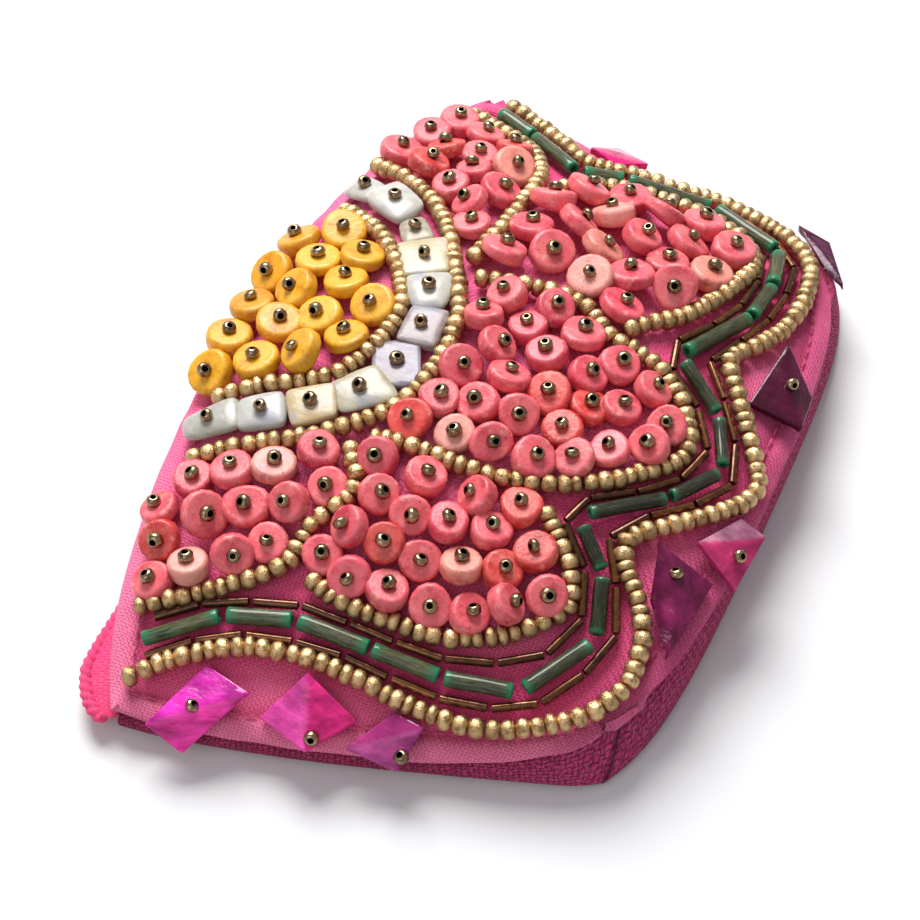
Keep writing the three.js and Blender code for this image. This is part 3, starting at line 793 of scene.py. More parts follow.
@dataclass(frozen=True)
class CottonFinish(Finish):
    """Fine plain weave, redder round the stem, with painted shade along the hem fold, a paler near hem that
    is partly painted light, and painted shade along the base.
    """

    base: Colour = (0.83, 0.115, 0.275)
    hot: Colour = (0.82, 0.045, 0.185)
    pale: Colour = (0.85, 0.17, 0.335)
    # Paler hem colour: partly the hem's own paler mauve and partly painted light on the near side
    hem_pale_and_lit: Colour = (0.84, 0.24, 0.4)
    # Painted shade on the base side, which turns away from the light
    base_side_shade: Colour = (0.42, 0.05, 0.16)
    # Dark of the weave's gaps, also used for the painted shade along the hem fold
    gap: Colour = (0.46, 0.03, 0.1)
    slub: Colour = (0.88, 0.3, 0.44)
    pitch: float = 0.44

    def dress(self, graph: Graph) -> None:
        """Builds the weave on the cloth's own coordinates."""
        cloth = graph.painted("cloth")
        threads = graph.swayed(cloth, 0.6, 3.0, (0.7, 0.7, 0.7))
        height, over = graph.weave(threads, self.pitch)
        ways = ((0.6, 5.0, 1.0), (5.0, 0.6, 1.0))
        slubs = [graph.noise(graph.stretch(cloth, way), 1.6, 4.0, 0.6) for way in ways]
        worn = graph.noise(cloth, 0.09, 3.0)
        colour = graph.mix(graph.between(worn, 0.35, 0.65), self.base, self.pale)
        # Redder where gathered round the stem; paler on the near hem, partly painted light; painted shade
        # along the base side
        for name, tone in (("gather", self.hot), ("turned", self.hem_pale_and_lit), ("painted_base_side_shade", self.base_side_shade)):
            colour = graph.mix(graph.painted(name, "Fac"), colour, tone)
        streak = graph.math("MAXIMUM", *slubs)
        colour = graph.mix(graph.between(streak, 0.55, 0.75, 0.0, 0.35), colour, self.slub)
        colour = graph.mix(graph.between(height, 0.2, 0.95, 0.6, 0.0), colour, self.gap)
        # Painted shade along the fold of the hem
        colour = graph.mix(graph.painted("painted_fold_shade", "Fac"), colour, self.gap)
        graph.put("Base Color", colour)
        graph.put("Roughness", graph.between(over, 0, 1, 0.75, 0.88))
        graph.put("Sheen Weight", 0.08)
        graph.put("Specular IOR Level", 0.2)
        graph.put("Normal", graph.bump(height, 0.6, 0.0002))


@dataclass(frozen=True)
class CoarseFinish(Finish):
    """Coarse basket cloth of uneven dyed threads."""

    base: Colour = (0.48, 0.03, 0.13)
    pale: Colour = (0.62, 0.07, 0.21)
    dark: Colour = (0.12, 0.004, 0.032)
    fibre: Colour = (0.6, 0.12, 0.27)
    pitch: float = 0.5

    def dress(self, graph: Graph) -> None:
        """Builds thick uneven threads, and a dark sunk line at each seam."""
        cloth = graph.painted("cloth")
        threads = graph.stretch(graph.swayed(cloth, 0.8, 4.0, (1.6, 1.0, 1.0)), (0.7, 1.0, 1.0))
        height, over = graph.weave(threads, self.pitch)
        fibre = graph.noise(threads, 5.0, 5.0, 0.75)
        broken = graph.noise(graph.stretch(cloth, (0.7, 1.6, 1.0)), 1.1, 4.0, 0.7)
        tone = graph.noise(cloth, 0.9, 4.0, 0.7)
        colour = graph.mix(graph.between(tone, 0.35, 0.65), self.base, self.pale)
        colour = graph.mix(graph.between(fibre, 0.55, 0.75, 0.0, 0.4), colour, self.fibre)
        sunk = graph.math("MULTIPLY", graph.between(height, 0.15, 0.9, 1.0, 0.0),
                          graph.between(broken, 0.38, 0.6, 0.3, 1.0))
        colour = graph.mix(sunk, colour, self.dark)
        colour = graph.mix(graph.painted("seam", "Fac"), colour, self.dark)
        graph.put("Base Color", colour)
        graph.put("Roughness", graph.between(over, 0, 1, 0.8, 0.92))
        graph.put("Sheen Weight", 0.08)
        graph.put("Specular IOR Level", 0.15)
        fine = graph.bump(fibre, 0.6, 0.0002)
        graph.put("Normal", graph.bump(height, 1.0, 0.0005, fine))


@dataclass(frozen=True)
class TapeFinish(Finish):
    """Hot pink zip tape with fine ribs across it."""

    base: Colour = (0.9, 0.055, 0.2)
    dark: Colour = (0.58, 0.025, 0.11)
    soft: Colour = (0.8, 0.11, 0.25)
    pitch: float = 0.32

    def dress(self, graph: Graph) -> None:
        """Builds ribs on the tape's own coordinates."""
        cloth = graph.painted("cloth")
        height, over = graph.weave(cloth, self.pitch)
        tone = graph.noise(cloth, 0.7, 3.0)
        colour = graph.mix(graph.between(tone, 0.35, 0.65, 0.0, 0.4), self.base, self.soft)
        colour = graph.mix(graph.between(height, 0.2, 0.9, 0.35, 0.0), colour, self.dark)
        graph.put("Base Color", colour)
        graph.put("Roughness", graph.between(over, 0, 1, 0.6, 0.75))
        graph.put("Sheen Weight", 0.1)
        graph.put("Specular IOR Level", 0.25)
        graph.put("Normal", graph.bump(height, 0.5, 0.0002))


@dataclass(frozen=True)
class DiscFinish(Finish):
    """Dyed and tumbled disc beads: each has its own tint, with speckles, scratches and pale worn rims."""

    speckle: Colour = (0.26, 0.012, 0.02)
    worn: Colour = (0.85, 0.42, 0.36)
    deepen: Colour = (0.72, 0.5, 0.55)
    rough: float = 0.34

    def dress(self, graph: Graph) -> None:
        """Builds the mottled dye."""
        place = graph.place()
        tint = graph.painted("tint")
        cloud = graph.noise(place, 380, 5.0, 0.65)
        spots = graph.noise(place, 1500, 3.0, 0.6)
        chips = graph.noise(place, 700, 5.0, 0.7)
        colour = graph.mix(graph.between(cloud, 0.4, 0.7, 0.0, 0.22), tint, self.worn)
        deep = graph.vector("MULTIPLY", tint, self.deepen)
        colour = graph.mix(graph.between(cloud, 0.3, 0.52, 0.85, 0.0), colour, deep)
        colour = graph.mix(graph.between(cloud, 0.28, 0.4, 0.35, 0.0), colour, self.speckle)
        colour = graph.mix(graph.between(spots, 0.62, 0.72, 0.0, 0.6), colour, self.speckle)
        bare = graph.math("MULTIPLY", graph.between(chips, 0.56, 0.66), graph.painted("rim", "Fac"))
        colour = graph.mix(graph.math("MULTIPLY", bare, 0.6), colour, self.worn)
        graph.put("Base Color", colour)
        graph.put("Roughness", graph.between(chips, 0.3, 0.7, self.rough - 0.1, self.rough + 0.15))
        graph.put("Specular IOR Level", 0.45)
        graph.put("Normal", graph.bump(spots, 0.35, 0.00014, graph.bump(chips, 0.3, 0.0004)))


@dataclass(frozen=True)
class MetalFinish(Finish):
    """Metal-coated glass beads with fine scratches, darker grime and, where a piece marks them, painted
    shade in its holes.
    """

    base: Colour = (0.7, 0.48, 0.24)
    grime: Colour = (0.17, 0.085, 0.027)
    rough: float = 0.28
    scratch: float = 1.0
    patchy: float = 0.7
    # Painted shade inside the holes
    hole: Colour = (0.006, 0.004, 0.003)

    def dress(self, graph: Graph) -> None:
        """Builds brushed metal with a tone for each bead."""
        place = graph.place()
        tone = graph.painted("tone", "Fac")
        brushed = graph.noise(graph.stretch(place, (1.0, 1.0, 4.0)), 2400, 4.0, 0.7)
        patch = graph.noise(place, 1000, 4.0, 0.6)
        colour = graph.mix(graph.between(tone, 0, 1, 0.0, 0.4), self.base, self.grime)
        colour = graph.mix(graph.between(patch, 0.5, 0.64, 0.0, self.patchy), colour, self.grime)
        # Painted shade inside the holes, where a piece marks them
        colour = graph.mix(graph.painted("painted_hole_shade", "Fac"), colour, self.hole)
        graph.put("Base Color", colour)
        graph.put("Metallic", 1.0)
        graph.put("Roughness", graph.between(brushed, 0.3, 0.7, self.rough - 0.1, self.rough + 0.2))
        graph.put("Normal", graph.bump(brushed, self.scratch, 0.0001))


@dataclass(frozen=True)
class BugleFinish(Finish):
    """Copper-lined glass tubes: dark brown, warm where the lining shows."""

    base: Colour = (0.095, 0.032, 0.014)
    bright: Colour = (0.27, 0.1, 0.03)
    dark: Colour = (0.02, 0.006, 0.003)

    def dress(self, graph: Graph) -> None:
        """Builds dark glass over a copper lining."""
        place = graph.place()
        streak = graph.noise(place, 900, 3.0)
        tone = graph.painted("tone", "Fac")
        colour = graph.mix(graph.between(tone, 0, 1, 0.0, 0.7), self.base, self.bright)
        colour = graph.mix(graph.between(streak, 0.42, 0.65, 0.0, 0.6), colour, self.dark)
        graph.put("Base Color", colour)
        graph.put("Metallic", 0.75)
        graph.put("Roughness", graph.between(streak, 0.3, 0.7, 0.16, 0.34))
        graph.put("Coat Weight", 0.25)
        graph.put("Coat Roughness", 0.05)


@dataclass(frozen=True)
class BoneFinish(Finish):
    """Green dyed bone tubes: jade at the ends, streaked brown and olive along the middle."""

    jade: Colour = (0.03, 0.14, 0.06)
    olive: Colour = (0.125, 0.12, 0.05)
    dark: Colour = (0.012, 0.012, 0.007)
    shaded: Colour = (0.01, 0.013, 0.007)
    pale: Colour = (0.15, 0.17, 0.09)
    tip: Colour = (0.012, 0.19, 0.08)

    def dress(self, graph: Graph) -> None:
        """Builds streaks along each tube."""
        grain = graph.painted("grain")
        streak = graph.noise(graph.stretch(grain, (0.5, 2.2, 2.2)), 1.0, 4.0, 0.6)
        fine = graph.noise(graph.stretch(grain, (0.9, 9.0, 9.0)), 1.0, 4.0, 0.7)
        colour = graph.mix(graph.between(streak, 0.3, 0.52), self.jade, self.olive)
        colour = graph.mix(graph.between(fine, 0.47, 0.58, 0.0, 0.9), colour, self.dark)
        colour = graph.mix(graph.painted("shade", "Fac"), colour, self.shaded)
        colour = graph.mix(graph.between(fine, 0.34, 0.44, 0.5, 0.0), colour, self.pale)
        colour = graph.mix(graph.painted("ends", "Fac"), colour, self.tip)
        graph.put("Base Color", colour)
        graph.put("Roughness", graph.between(fine, 0.3, 0.7, 0.14, 0.36))
        graph.put("Specular IOR Level", 0.12)
        graph.put("Coat Weight", 0.6)
        graph.put("Coat Roughness", 0.08)
        graph.put("Normal", graph.bump(fine, 0.5, 0.0003))


@dataclass(frozen=True)
class PearlFinish(Finish):
    """Mother-of-pearl: cream, grey or lavender with soft bands and a pearly coat."""

    band: Colour = (0.56, 0.53, 0.47)
    amber: Colour = (0.27, 0.2, 0.11)
    lavender: Colour = (0.27, 0.28, 0.36)

    def dress(self, graph: Graph) -> None:
        """Builds soft bands of nacre."""
        place = graph.place()
        tint = graph.painted("tint")
        cloud = graph.noise(place, 210, 3.0)
        bands = graph.noise(graph.stretch(place, (1.0, 2.6, 6.0)), 330, 5.0, 0.65)
        colour = graph.mix(graph.between(bands, 0.4, 0.65, 0.0, 0.4), tint, self.band)
        colour = graph.mix(graph.between(cloud, 0.54, 0.68, 0.0, 0.45), colour, self.amber)
        colour = graph.mix(graph.between(cloud, 0.32, 0.44, 0.55, 0.0), colour, self.lavender)
        graph.put("Base Color", colour)
        graph.put("Roughness", graph.between(bands, 0.3, 0.7, 0.16, 0.34))
        graph.put("Subsurface Weight", 0.15)
        graph.put("Subsurface Radius", (0.003, 0.0026, 0.002))
        graph.put("Subsurface Scale", 0.5)
        graph.put("Specular IOR Level", 0.3)
        graph.put("Coat Weight", 0.12)
        graph.put("Coat Roughness", 0.08)
        graph.put("Normal", graph.bump(bands, 0.3, 0.0003))


@dataclass(frozen=True)
class ShellFinish(Finish):
    """Dyed shell: cloudy layers of each plate's own dye, paler in places, and painted glints of the
    lightened dye, under a polish.
    """

    deepen: Colour = (0.3, 0.06, 0.24)
    # Lightens the dye for the paler layers and for the painted glints
    lift: Colour = (1.7, 1.9, 1.7)

    def dress(self, graph: Graph) -> None:
        """Builds cloudy layers of dye and painted glints."""
        place = graph.place()
        tint = graph.painted("tint")
        layers = graph.noise(graph.stretch(place, (1.0, 1.6, 4.0)), 170, 5.0, 0.6)
        glint_noise = graph.noise(graph.stretch(place, (1.0, 3.0, 1.0)), 420, 4.0, 0.65)
        pale_layers_and_glints = graph.vector("MULTIPLY", tint, self.lift)
        colour = graph.mix(graph.between(layers, 0.34, 0.5, 0.6, 0.0), tint, self.deepen, "MULTIPLY")
        colour = graph.mix(graph.between(layers, 0.5, 0.68, 0.0, 0.8), colour, pale_layers_and_glints)
        # Painted glints
        colour = graph.mix(graph.between(glint_noise, 0.6, 0.72, 0.0, 0.5), colour, pale_layers_and_glints)
        graph.put("Base Color", colour)
        graph.put("Roughness", graph.between(glint_noise, 0.3, 0.7, 0.1, 0.28))
        graph.put("Specular IOR Level", 0.25)
        graph.put("Coat Weight", 0.15)
        graph.put("Coat Roughness", 0.04)
        graph.put("Normal", graph.bump(layers, 0.35, 0.0008))


@dataclass(frozen=True)
class ThreadFinish(Finish):
    """Sewing thread."""

    base: Colour = (0.66, 0.1, 0.26)
    dark: Colour = (0.35, 0.03, 0.1)

    def dress(self, graph: Graph) -> None:
        """Builds a twisted thread."""
        twist = graph.noise(graph.place(), 2600, 3.0)
        graph.put("Base Color", graph.mix(graph.between(twist, 0.35, 0.65), self.base, self.dark))
        graph.put("Roughness", 0.7)
        graph.put("Normal", graph.bump(twist, 0.5, 0.0001))


COTTON = CottonFinish("pink_plain_weave", Slot.COTTON)
COARSE = CoarseFinish("rose_basket_cloth", Slot.WEAVE)
TAPE = TapeFinish("zip_tape_ribs", Slot.TAPE)
CORAL = DiscFinish("coral_discs", Slot.CORAL)
MUSTARD = DiscFinish(
    "mustard_discs", Slot.MUSTARD, speckle=(0.22, 0.09, 0.008), worn=(0.79, 0.47, 0.09))
GOLD = MetalFinish("brushed_gold_beads", Slot.GOLD)
BRONZE = MetalFinish(
    "bronze_stoppers", Slot.METAL, base=(0.4, 0.29, 0.17), grime=(0.07, 0.04, 0.02), rough=0.19,
    scratch=0.15)
SLIDER = MetalFinish(
    "plain_bronze_slider", Slot.METAL, base=(0.5, 0.38, 0.24), grime=(0.12, 0.07, 0.035), rough=0.3,
    scratch=0.1, patchy=0.08)
COPPER = BugleFinish("copper_bugles", Slot.COPPER)
BONE = BoneFinish("streaked_bone", Slot.GREEN)
PEARL = PearlFinish("nacre", Slot.PEARL)
SHELL = ShellFinish("dyed_shell_layers", Slot.SHELL)
THREAD = ThreadFinish("pink_thread", Slot.COTTON)


def frames_from(axis: Array, up: Sequence[float], spin: Array,
                sizes: Sequence[Array] | None = None) -> Array:
    """Returns frames whose third column is an axis.

    Args:
        axis: Directions of the third column.
        up: Any direction across them.
        spin: Turns about the axis, in radians.
        sizes: Lengths of the three columns, or none where all are 1.

    Returns:
        One 3 by 3 matrix for each axis.
    """
    axis = unit(axis)
    side = unit(np.cross(up, axis))
    other = np.cross(axis, side)
    c, s = np.cos(spin)[:, None], np.sin(spin)[:, None]
    frames = np.stack([side * c + other * s, other * c - side * s, axis], axis=-1)
    return frames if sizes is None else frames * np.stack(sizes, 1)[:, None, :]


@dataclass
class FrontPanel:
    """The puffed cotton front: one sheet, gathered under the strings, with a turned and stitched hem."""

    rows: int = 170
    columns: int = 230
    thick: float = 1.1
    hem: float = 3.1
    stitch: float = 2.3
    sink: float = 0.15
    lip_share: float = 0.06
    lip_radius: float = 1.8
    lip_turn: float = 2.7
    drape: float = 0.6
    gathered: float = 0.8
    # Strength of the painted shade along the hem fold
    fold_shade: float = 0.7
    # Strength of the paler near hem, partly painted light
    hem_pale_and_lit: float = 0.6
    # Strength of the painted shade along the base side
    base_side_shade: float = 0.6
    fine: float = 0.2
    sewn: float = 0.7
    thread: float = 0.13
    above: float = 0.02
    pulled: float = 0.3
    folded: float = 0.35
    doubled: float = 0.25
    rolled: float = 0.45
    puckered: float = 0.16

    def build(self, bench: Bench) -> None:
        """Makes the sheet and its stitches.

        Args:
            bench: The workbench.
        """
        front = bench.front
        grid = bench.primitive(
            bpy.ops.mesh.primitive_grid_add, x_subdivisions=self.rows, y_subdivisions=self.columns, size=2)
        start = Pattern.take(grid)
        along, v = (start.points[:, 0] + 1) / 2, start.points[:, 1]
        u = np.clip((along - self.lip_share) / (1 - self.lip_share), 0, 1)
        points = front.point(u, v)
        edge = self.edge_distance(front, points)
        strings = self.string_distance(points)
        points[:, 2] += self.relief(points, edge, strings) * self.calm(front, points) - self.sink
        share = np.clip(1 - along / self.lip_share, 0, 1)
        away = unit((points - HUB) * [1, 1, 0])
        cloth = points * [1, 1, 0] - away * points[:, 2:] * self.drape
        cloth -= np.outer(share, [self.lip_radius * self.lip_turn, 0, 0])
        self.roll(front, points, share, v)
        start.points = points
        panel = bench.piece("front_panel_cloth", start, COTTON, smooth=180)
        bench.paint(panel, "cloth", cloth)
        self.colour(bench, panel, points, edge)
        self.thicken(panel)
        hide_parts("front_panel")
        self.stitches(bench)

    def colour(self, bench: Bench, panel: Object, points: Array, edge: Array) -> None:
        """Paints where the cloth is gathered round the stem, painted shade along the hem fold, a paler near
        hem that is partly painted light, and painted shade along the base side.

        Args:
            bench: The workbench.
            panel: The panel.
            points: Points of the sheet.
            edge: Their distance from the edge.
        """
        stem = self.distance_to(points, smooth_route(STEM_JOINTS, 1.0))
        on_hem = ease((self.hem + 0.6 - edge) / 1.2)
        near_side = ease((-28 - points[:, 1]) / 16)
        outer_band = ease((8 - edge) / 4)
        base_side = ease((points[:, 0] - 26) / 7)
        bench.paint(panel, "gather", np.clip(1.25 - stem / 6.0, 0, 1) * self.gathered)
        # Painted shade along the hem fold
        bench.paint(panel, "painted_fold_shade", self.fold_shade * np.exp(-(((edge - self.hem) / 0.6) ** 2)))
        # Paler near hem: partly its own paler cloth and partly painted light on the near side
        bench.paint(panel, "turned", self.hem_pale_and_lit * (on_hem * near_side))
        # Painted shade along the base-side edge
        bench.paint(panel, "painted_base_side_shade", self.base_side_shade * outer_band * base_side)

    @staticmethod
    def calm(front: PuffedFront, points: Array) -> Array:
        """Returns how much of the relief is kept: little at the base corners, where the cloth is pulled."""
        corners = front.point(np.ones(2), np.array([-1.0, 1.0]))
        near = np.min([np.hypot(points[:, 0] - c[0], points[:, 1] - c[1]) for c in corners], axis=0)
        return 1 - 0.92 * np.exp(-((near / 5.0) ** 2))

    def roll(self, front: PuffedFront, points: Array, share: Array, v: Array) -> None:
        """Rolls the sheet's first rows down and in along the zip.

        Args:
            front: The puffed surface.
            points: Points of the sheet, changed in place.
            share: How far round the roll each point lies.
            v: Places along the zip.
        """
        rolled = share > 0
        radius = (self.lip_radius * (1.02 - np.abs(v[rolled]) ** 8))[:, None]
        turn = (self.lip_turn * share[rolled])[:, None]
        outward = unit(front.point(0.0, v[rolled]) - front.point(0.02, v[rolled]))
        up = unit(np.cross(np.cross(outward, UP), outward))
        points[rolled] += outward * (radius * np.sin(turn)) - up * (radius * (1 - np.cos(turn)))

    def thicken(self, panel: Object) -> None:
        """Gives the sheet its thickness, downwards."""
        Bench.choose(panel)
        Bench.modify(panel, "SOLIDIFY", thickness=self.thick / MM_PER_METRE, offset=-1)

    @staticmethod
    def area(sheet: Pattern) -> float:
        """Returns the sheet's area in square metres."""
        corners = sheet.points[sheet.corners.reshape(-1, 4)]
        cross = np.cross(corners[:, 2] - corners[:, 0], corners[:, 3] - corners[:, 1])
        return float(np.linalg.norm(cross, axis=1).sum() / (2 * MM_PER_METRE**2))

    @staticmethod
    def distance_to(points: Array, line: Array) -> Array:
        """Returns each point's distance from a line, seen from above."""
        best = np.full(len(points), 1e9)
        for start, end in zip(line[:-1, :2], line[1:, :2]):
            way, gap = end - start, points[:, :2] - start
            share = np.clip(gap @ way / max(way @ way, 1e-9), 0, 1)
            best = np.minimum(best, np.hypot(*(gap - share[:, None] * way).T))
        return best

    def edge_distance(self, front: PuffedFront, points: Array) -> Array:
        """Returns each point's distance from the panel's edge."""
        u, v = front.rim(80)
        ring = front.point(u, v)
        return self.distance_to(points, np.concatenate([ring, ring[:1]]))

    def string_distance(self, points: Array) -> Array:
        """Returns each point's distance from the nearest bead string."""
        routes = (*GOLD_ROUTES.values(), *BUGLE_ROUTES.values(), STEM_JOINTS)
        return np.min([self.distance_to(points, smooth_route(route, 1.5)) for route in routes], axis=0)

    def relief(self, points: Array, edge: Array, strings: Array) -> Array:
        """Works out how far the cloth rises or sinks from the smooth surface.

        Args:
            points: Points of the sheet.
            edge: Their distance from the edge.
            strings: Their distance from the strings.

        Returns:
            Heights in millimetres.
        """
        pull = -self.pulled * np.exp(-((strings / 1.4) ** 2))
        fold = -self.folded * np.exp(-(((edge - self.hem) / 0.85) ** 2))
        double = self.doubled * ease((self.hem - edge) / 1.6)
        roll = -self.rolled * np.clip(1 - edge / 2.0, 0, 1) ** 2
        along = np.arctan2(points[:, 1], points[:, 0])
        pucker = self.puckered * np.exp(-edge / 4.5) * np.sin(along * 34 + 2.2 * np.sin(along * 7))
        return pull + fold + double + roll + pucker

    def stitches(self, bench: Bench) -> None:
        """Sews a row of stitches along the fold of the hem."""
        front = bench.front
        u, v = front.rim(120)
        ring = front.point(u, v)[:, :2]
        ring = np.concatenate([ring, ring[:1]])
        sewn = respace(ring + unit(HUB[:2] - ring) * self.hem, self.fine)
        step = int(round(self.stitch / self.fine))
        starts = np.arange(0, len(sewn) - step, step)
        ends = starts + int(step * self.sewn)
        a, b = front.lay(sewn[starts], self.above), front.lay(sewn[ends], self.above)
        half = np.linalg.norm(b - a, axis=1) / 2
        thin = np.full_like(half, self.thread)
        frames = frames_from(b - a, UP, np.zeros(len(a)), (thin, thin, half))
        thread = bench.bead(sides=6, flat=4, soften=0.3, steps=1).stamp(frames, (a + b) / 2)
        bench.piece("hem_stitches", thread, THREAD)


@dataclass
class BodyTray:
    """The hollow body of coarse cloth: flat back, low sides and a boxed base with a seam at each corner."""

    around: int = 120
    foot: float = 1.6
    bend: float = 1.2
    rim_inset: float = 1.3
    rim_drop: float = -0.05
    wall: float = 2.0
    back: float = 1.5
    zip_rim: float = 2.6
    hub: tuple[float, float, float] = (1.5, -1.25, 0.0)
    sole: float = 8.0
    cap: float = 30.0
    under: float = 1.4
    seam: float = 0.9

    def build(self, bench: Bench) -> None:
        """Makes the tray.

        Args:
            bench: The workbench.
        """
        front = bench.front
        u, v = front.rim(self.around)
        hem, ground = front.hem(u, v), front.floor(u, v)
        blend = ease(u / MOUTH)
        rim = self.zip_rim + (hem[:, 2] - self.under - self.rim_drop - self.zip_rim) * blend
        hub = np.array(self.hub)
        profile = np.stack([
            self.inward(ground, hub, self.cap, 0.0),
            self.inward(ground, hub, self.sole, 0.0),
            self.inward(ground, hub, self.foot, 0.0),
            self.inward(ground, hub, 0.0, self.bend),
            self.inward((ground + hem) / 2, hub, 0.0, (rim + self.bend) / 2),
            self.inward(hem, hub, self.rim_inset, rim),
            self.inward(hem, hub, self.rim_inset + self.wall, rim),
            self.inward(ground, hub, self.foot + self.wall + 1, self.back),
            self.inward(ground, hub, self.cap, self.back),
        ])
        rings = cut_corners(profile, 2)
        shape = Pattern.grid(rings, round_second=True)
        count, last = rings.shape[1], rings.shape[0] - 1
        caps = [list(range(count))[::-1], [last * count + i for i in range(count)]]
        tray = bench.piece("body_tray_cloth", shape.with_faces(caps), COARSE, smooth=50)
        run = np.cumsum(np.linalg.norm(np.diff(ground, axis=0, append=ground[:1]), axis=1))
        steps = np.linalg.norm(np.diff(rings, axis=0), axis=2).mean(1)
        climb = np.concatenate([[0], np.cumsum(steps)])
        bench.paint(tray, "cloth", unrolled(run[None], climb[:, None]))
        corners = run[[self.around, 2 * self.around]]
        near = np.min(np.abs(run[:, None] - corners[None]), axis=1)
        sunk = np.clip(1.0 - near / self.seam, 0, 1)
        bench.paint(tray, "seam", np.broadcast_to(sunk, rings.shape[:2]).ravel())
        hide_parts("body_tray")

    @staticmethod
    def inward(points: Array, hub: Array, distance: float, height: float | Array) -> Array:
        """Moves outline points towards the middle and sets their height."""
        way = unit((hub - points) * [1, 1, 0])
        moved = points + way * distance
        moved[:, 2] = height
        return moved


@dataclass
class ZipEnd:
    """The zip: folded tape along the mouth, a corded rim and the slider."""

    stations: int = 150
    tape: float = 0.8
    cord: float = 0.95
    twist: float = 1.2
    ear: float = 0.2
    near_fan: float = 34.0
    far_fan: float = 42.0
    rounded: float = 0.1
    cord_end: float = 0.69
    cord_out: float = 4.2
    cord_rise: float = 0.42
    sides: int = 18
    step: float = 0.28
    low: float = 2.9
    under: float = 2.0
    fold: float = 16.0
    profile: Route = ((-1.2, 0), (2.6, 0.1), (5.4, 0.42), (3.2, 0.8), (-0.8, 1))

    def point(self, front: PuffedFront, v: Array, out: float, rise: float) -> Array:
        """Returns points out of the zip edge and up towards the panel.

        Args:
            front: The puffed surface.
            v: Places along the zip.
            out: Distance out of the edge.
            rise: Share of the height up to the panel.

        Returns:
            Layout points.
        """
        edge = front.point(front.tuck(v) / (front.base_x(v) - front.zip_x(v)), v)
        near, far = ease((-v - 0.8) / 0.2), ease((v - 0.86) / 0.14)
        fan = np.radians(self.near_fan * near - self.far_fan * far)
        way = np.stack([-np.cos(fan), -np.sin(fan), 0 * v], 1)
        high = edge[:, 2] - self.under
        close = 0.12 + 0.88 * np.sqrt(np.clip((v + 1) / self.rounded, 0, 1))
        moved = edge + way * (out * (1 + self.ear * near) * close)[..., None]
        moved[:, 2] = self.low + (high - self.low) * rise
        return moved

    def build(self, bench: Bench) -> None:
        """Makes the tape and the corded rim, and dresses the slider.

        Args:
            bench: The workbench.
        """
        front = bench.front
        v = -np.cos(np.linspace(0, np.pi, self.stations))
        sides = []
        for depth in (0.0, self.tape):
            rings = np.stack([self.point(front, v, out - depth, rise) for out, rise in self.profile])
            sides.append(cut_corners(rings, 2))
        loop = np.concatenate([sides[0], sides[1][::-1]])
        shape = Pattern.grid(loop, round_first=True)
        around, count = loop.shape[:2]
        half = around // 2
        caps = []
        for end in (0, count - 1):
            for i in range(half - 1):
                ring = (i, i + 1, around - 2 - i, around - 1 - i)
                caps.append([k * count + end for k in ring])
        tape = bench.piece("zip_tape_cloth", shape.with_faces(caps), TAPE)
        run = np.cumsum(np.linalg.norm(np.diff(loop[0], axis=0, prepend=loop[0][:1]), axis=1))
        climb = np.linspace(0, self.fold, around)
        bench.paint(tape, "cloth", unrolled(run[None], climb[:, None]))
        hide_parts("zip_tape")
        self.rope(bench)
        slider = bpy.data.objects["zip_slider"]
        slider.data.materials.clear()
        slider.data.materials.append(SLIDER.material())

    def rope(self, bench: Bench) -> None:
        """Makes the corded rim: a tube with two twisted strands."""
        front = bench.front
        v = -1 + (1 + self.cord_end) * np.linspace(0, 1, 400) ** 2
        line = respace(self.point(front, v, self.cord_out, self.cord_rise), self.step)
        ahead = unit(np.gradient(line, axis=0))
        side = unit(np.cross(ahead, UP))
        up = np.cross(side, ahead)
        angle = np.linspace(0, 2 * np.pi, self.sides, endpoint=False)
        run = np.arange(len(line)) * self.step
        strand = np.abs(np.cos(angle[None] - run[:, None] * np.pi / self.twist))
        radius = self.cord * (0.72 + 0.3 * strand)
        ends = np.clip(np.minimum(run, run[-1] - run) / 0.8, 0.05, 1) ** 0.5
        radius = radius * ends[:, None]
        spokes = angle[None, :, None]
        ring = side[:, None] * np.cos(spokes) + up[:, None] * np.sin(spokes)
        points = line[:, None] + ring * radius[..., None]
        last = (len(line) - 1) * self.sides
        caps = [list(range(self.sides)), [last + i for i in range(self.sides)][::-1]]
        shape = Pattern.grid(points, round_second=True).with_faces(caps)
        rope = bench.piece("zip_rim_cord", shape, TAPE)
        bench.paint(rope, "cloth", unrolled(run[:, None] * 2, angle[None] * 0.9))
        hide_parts("zip_coil")


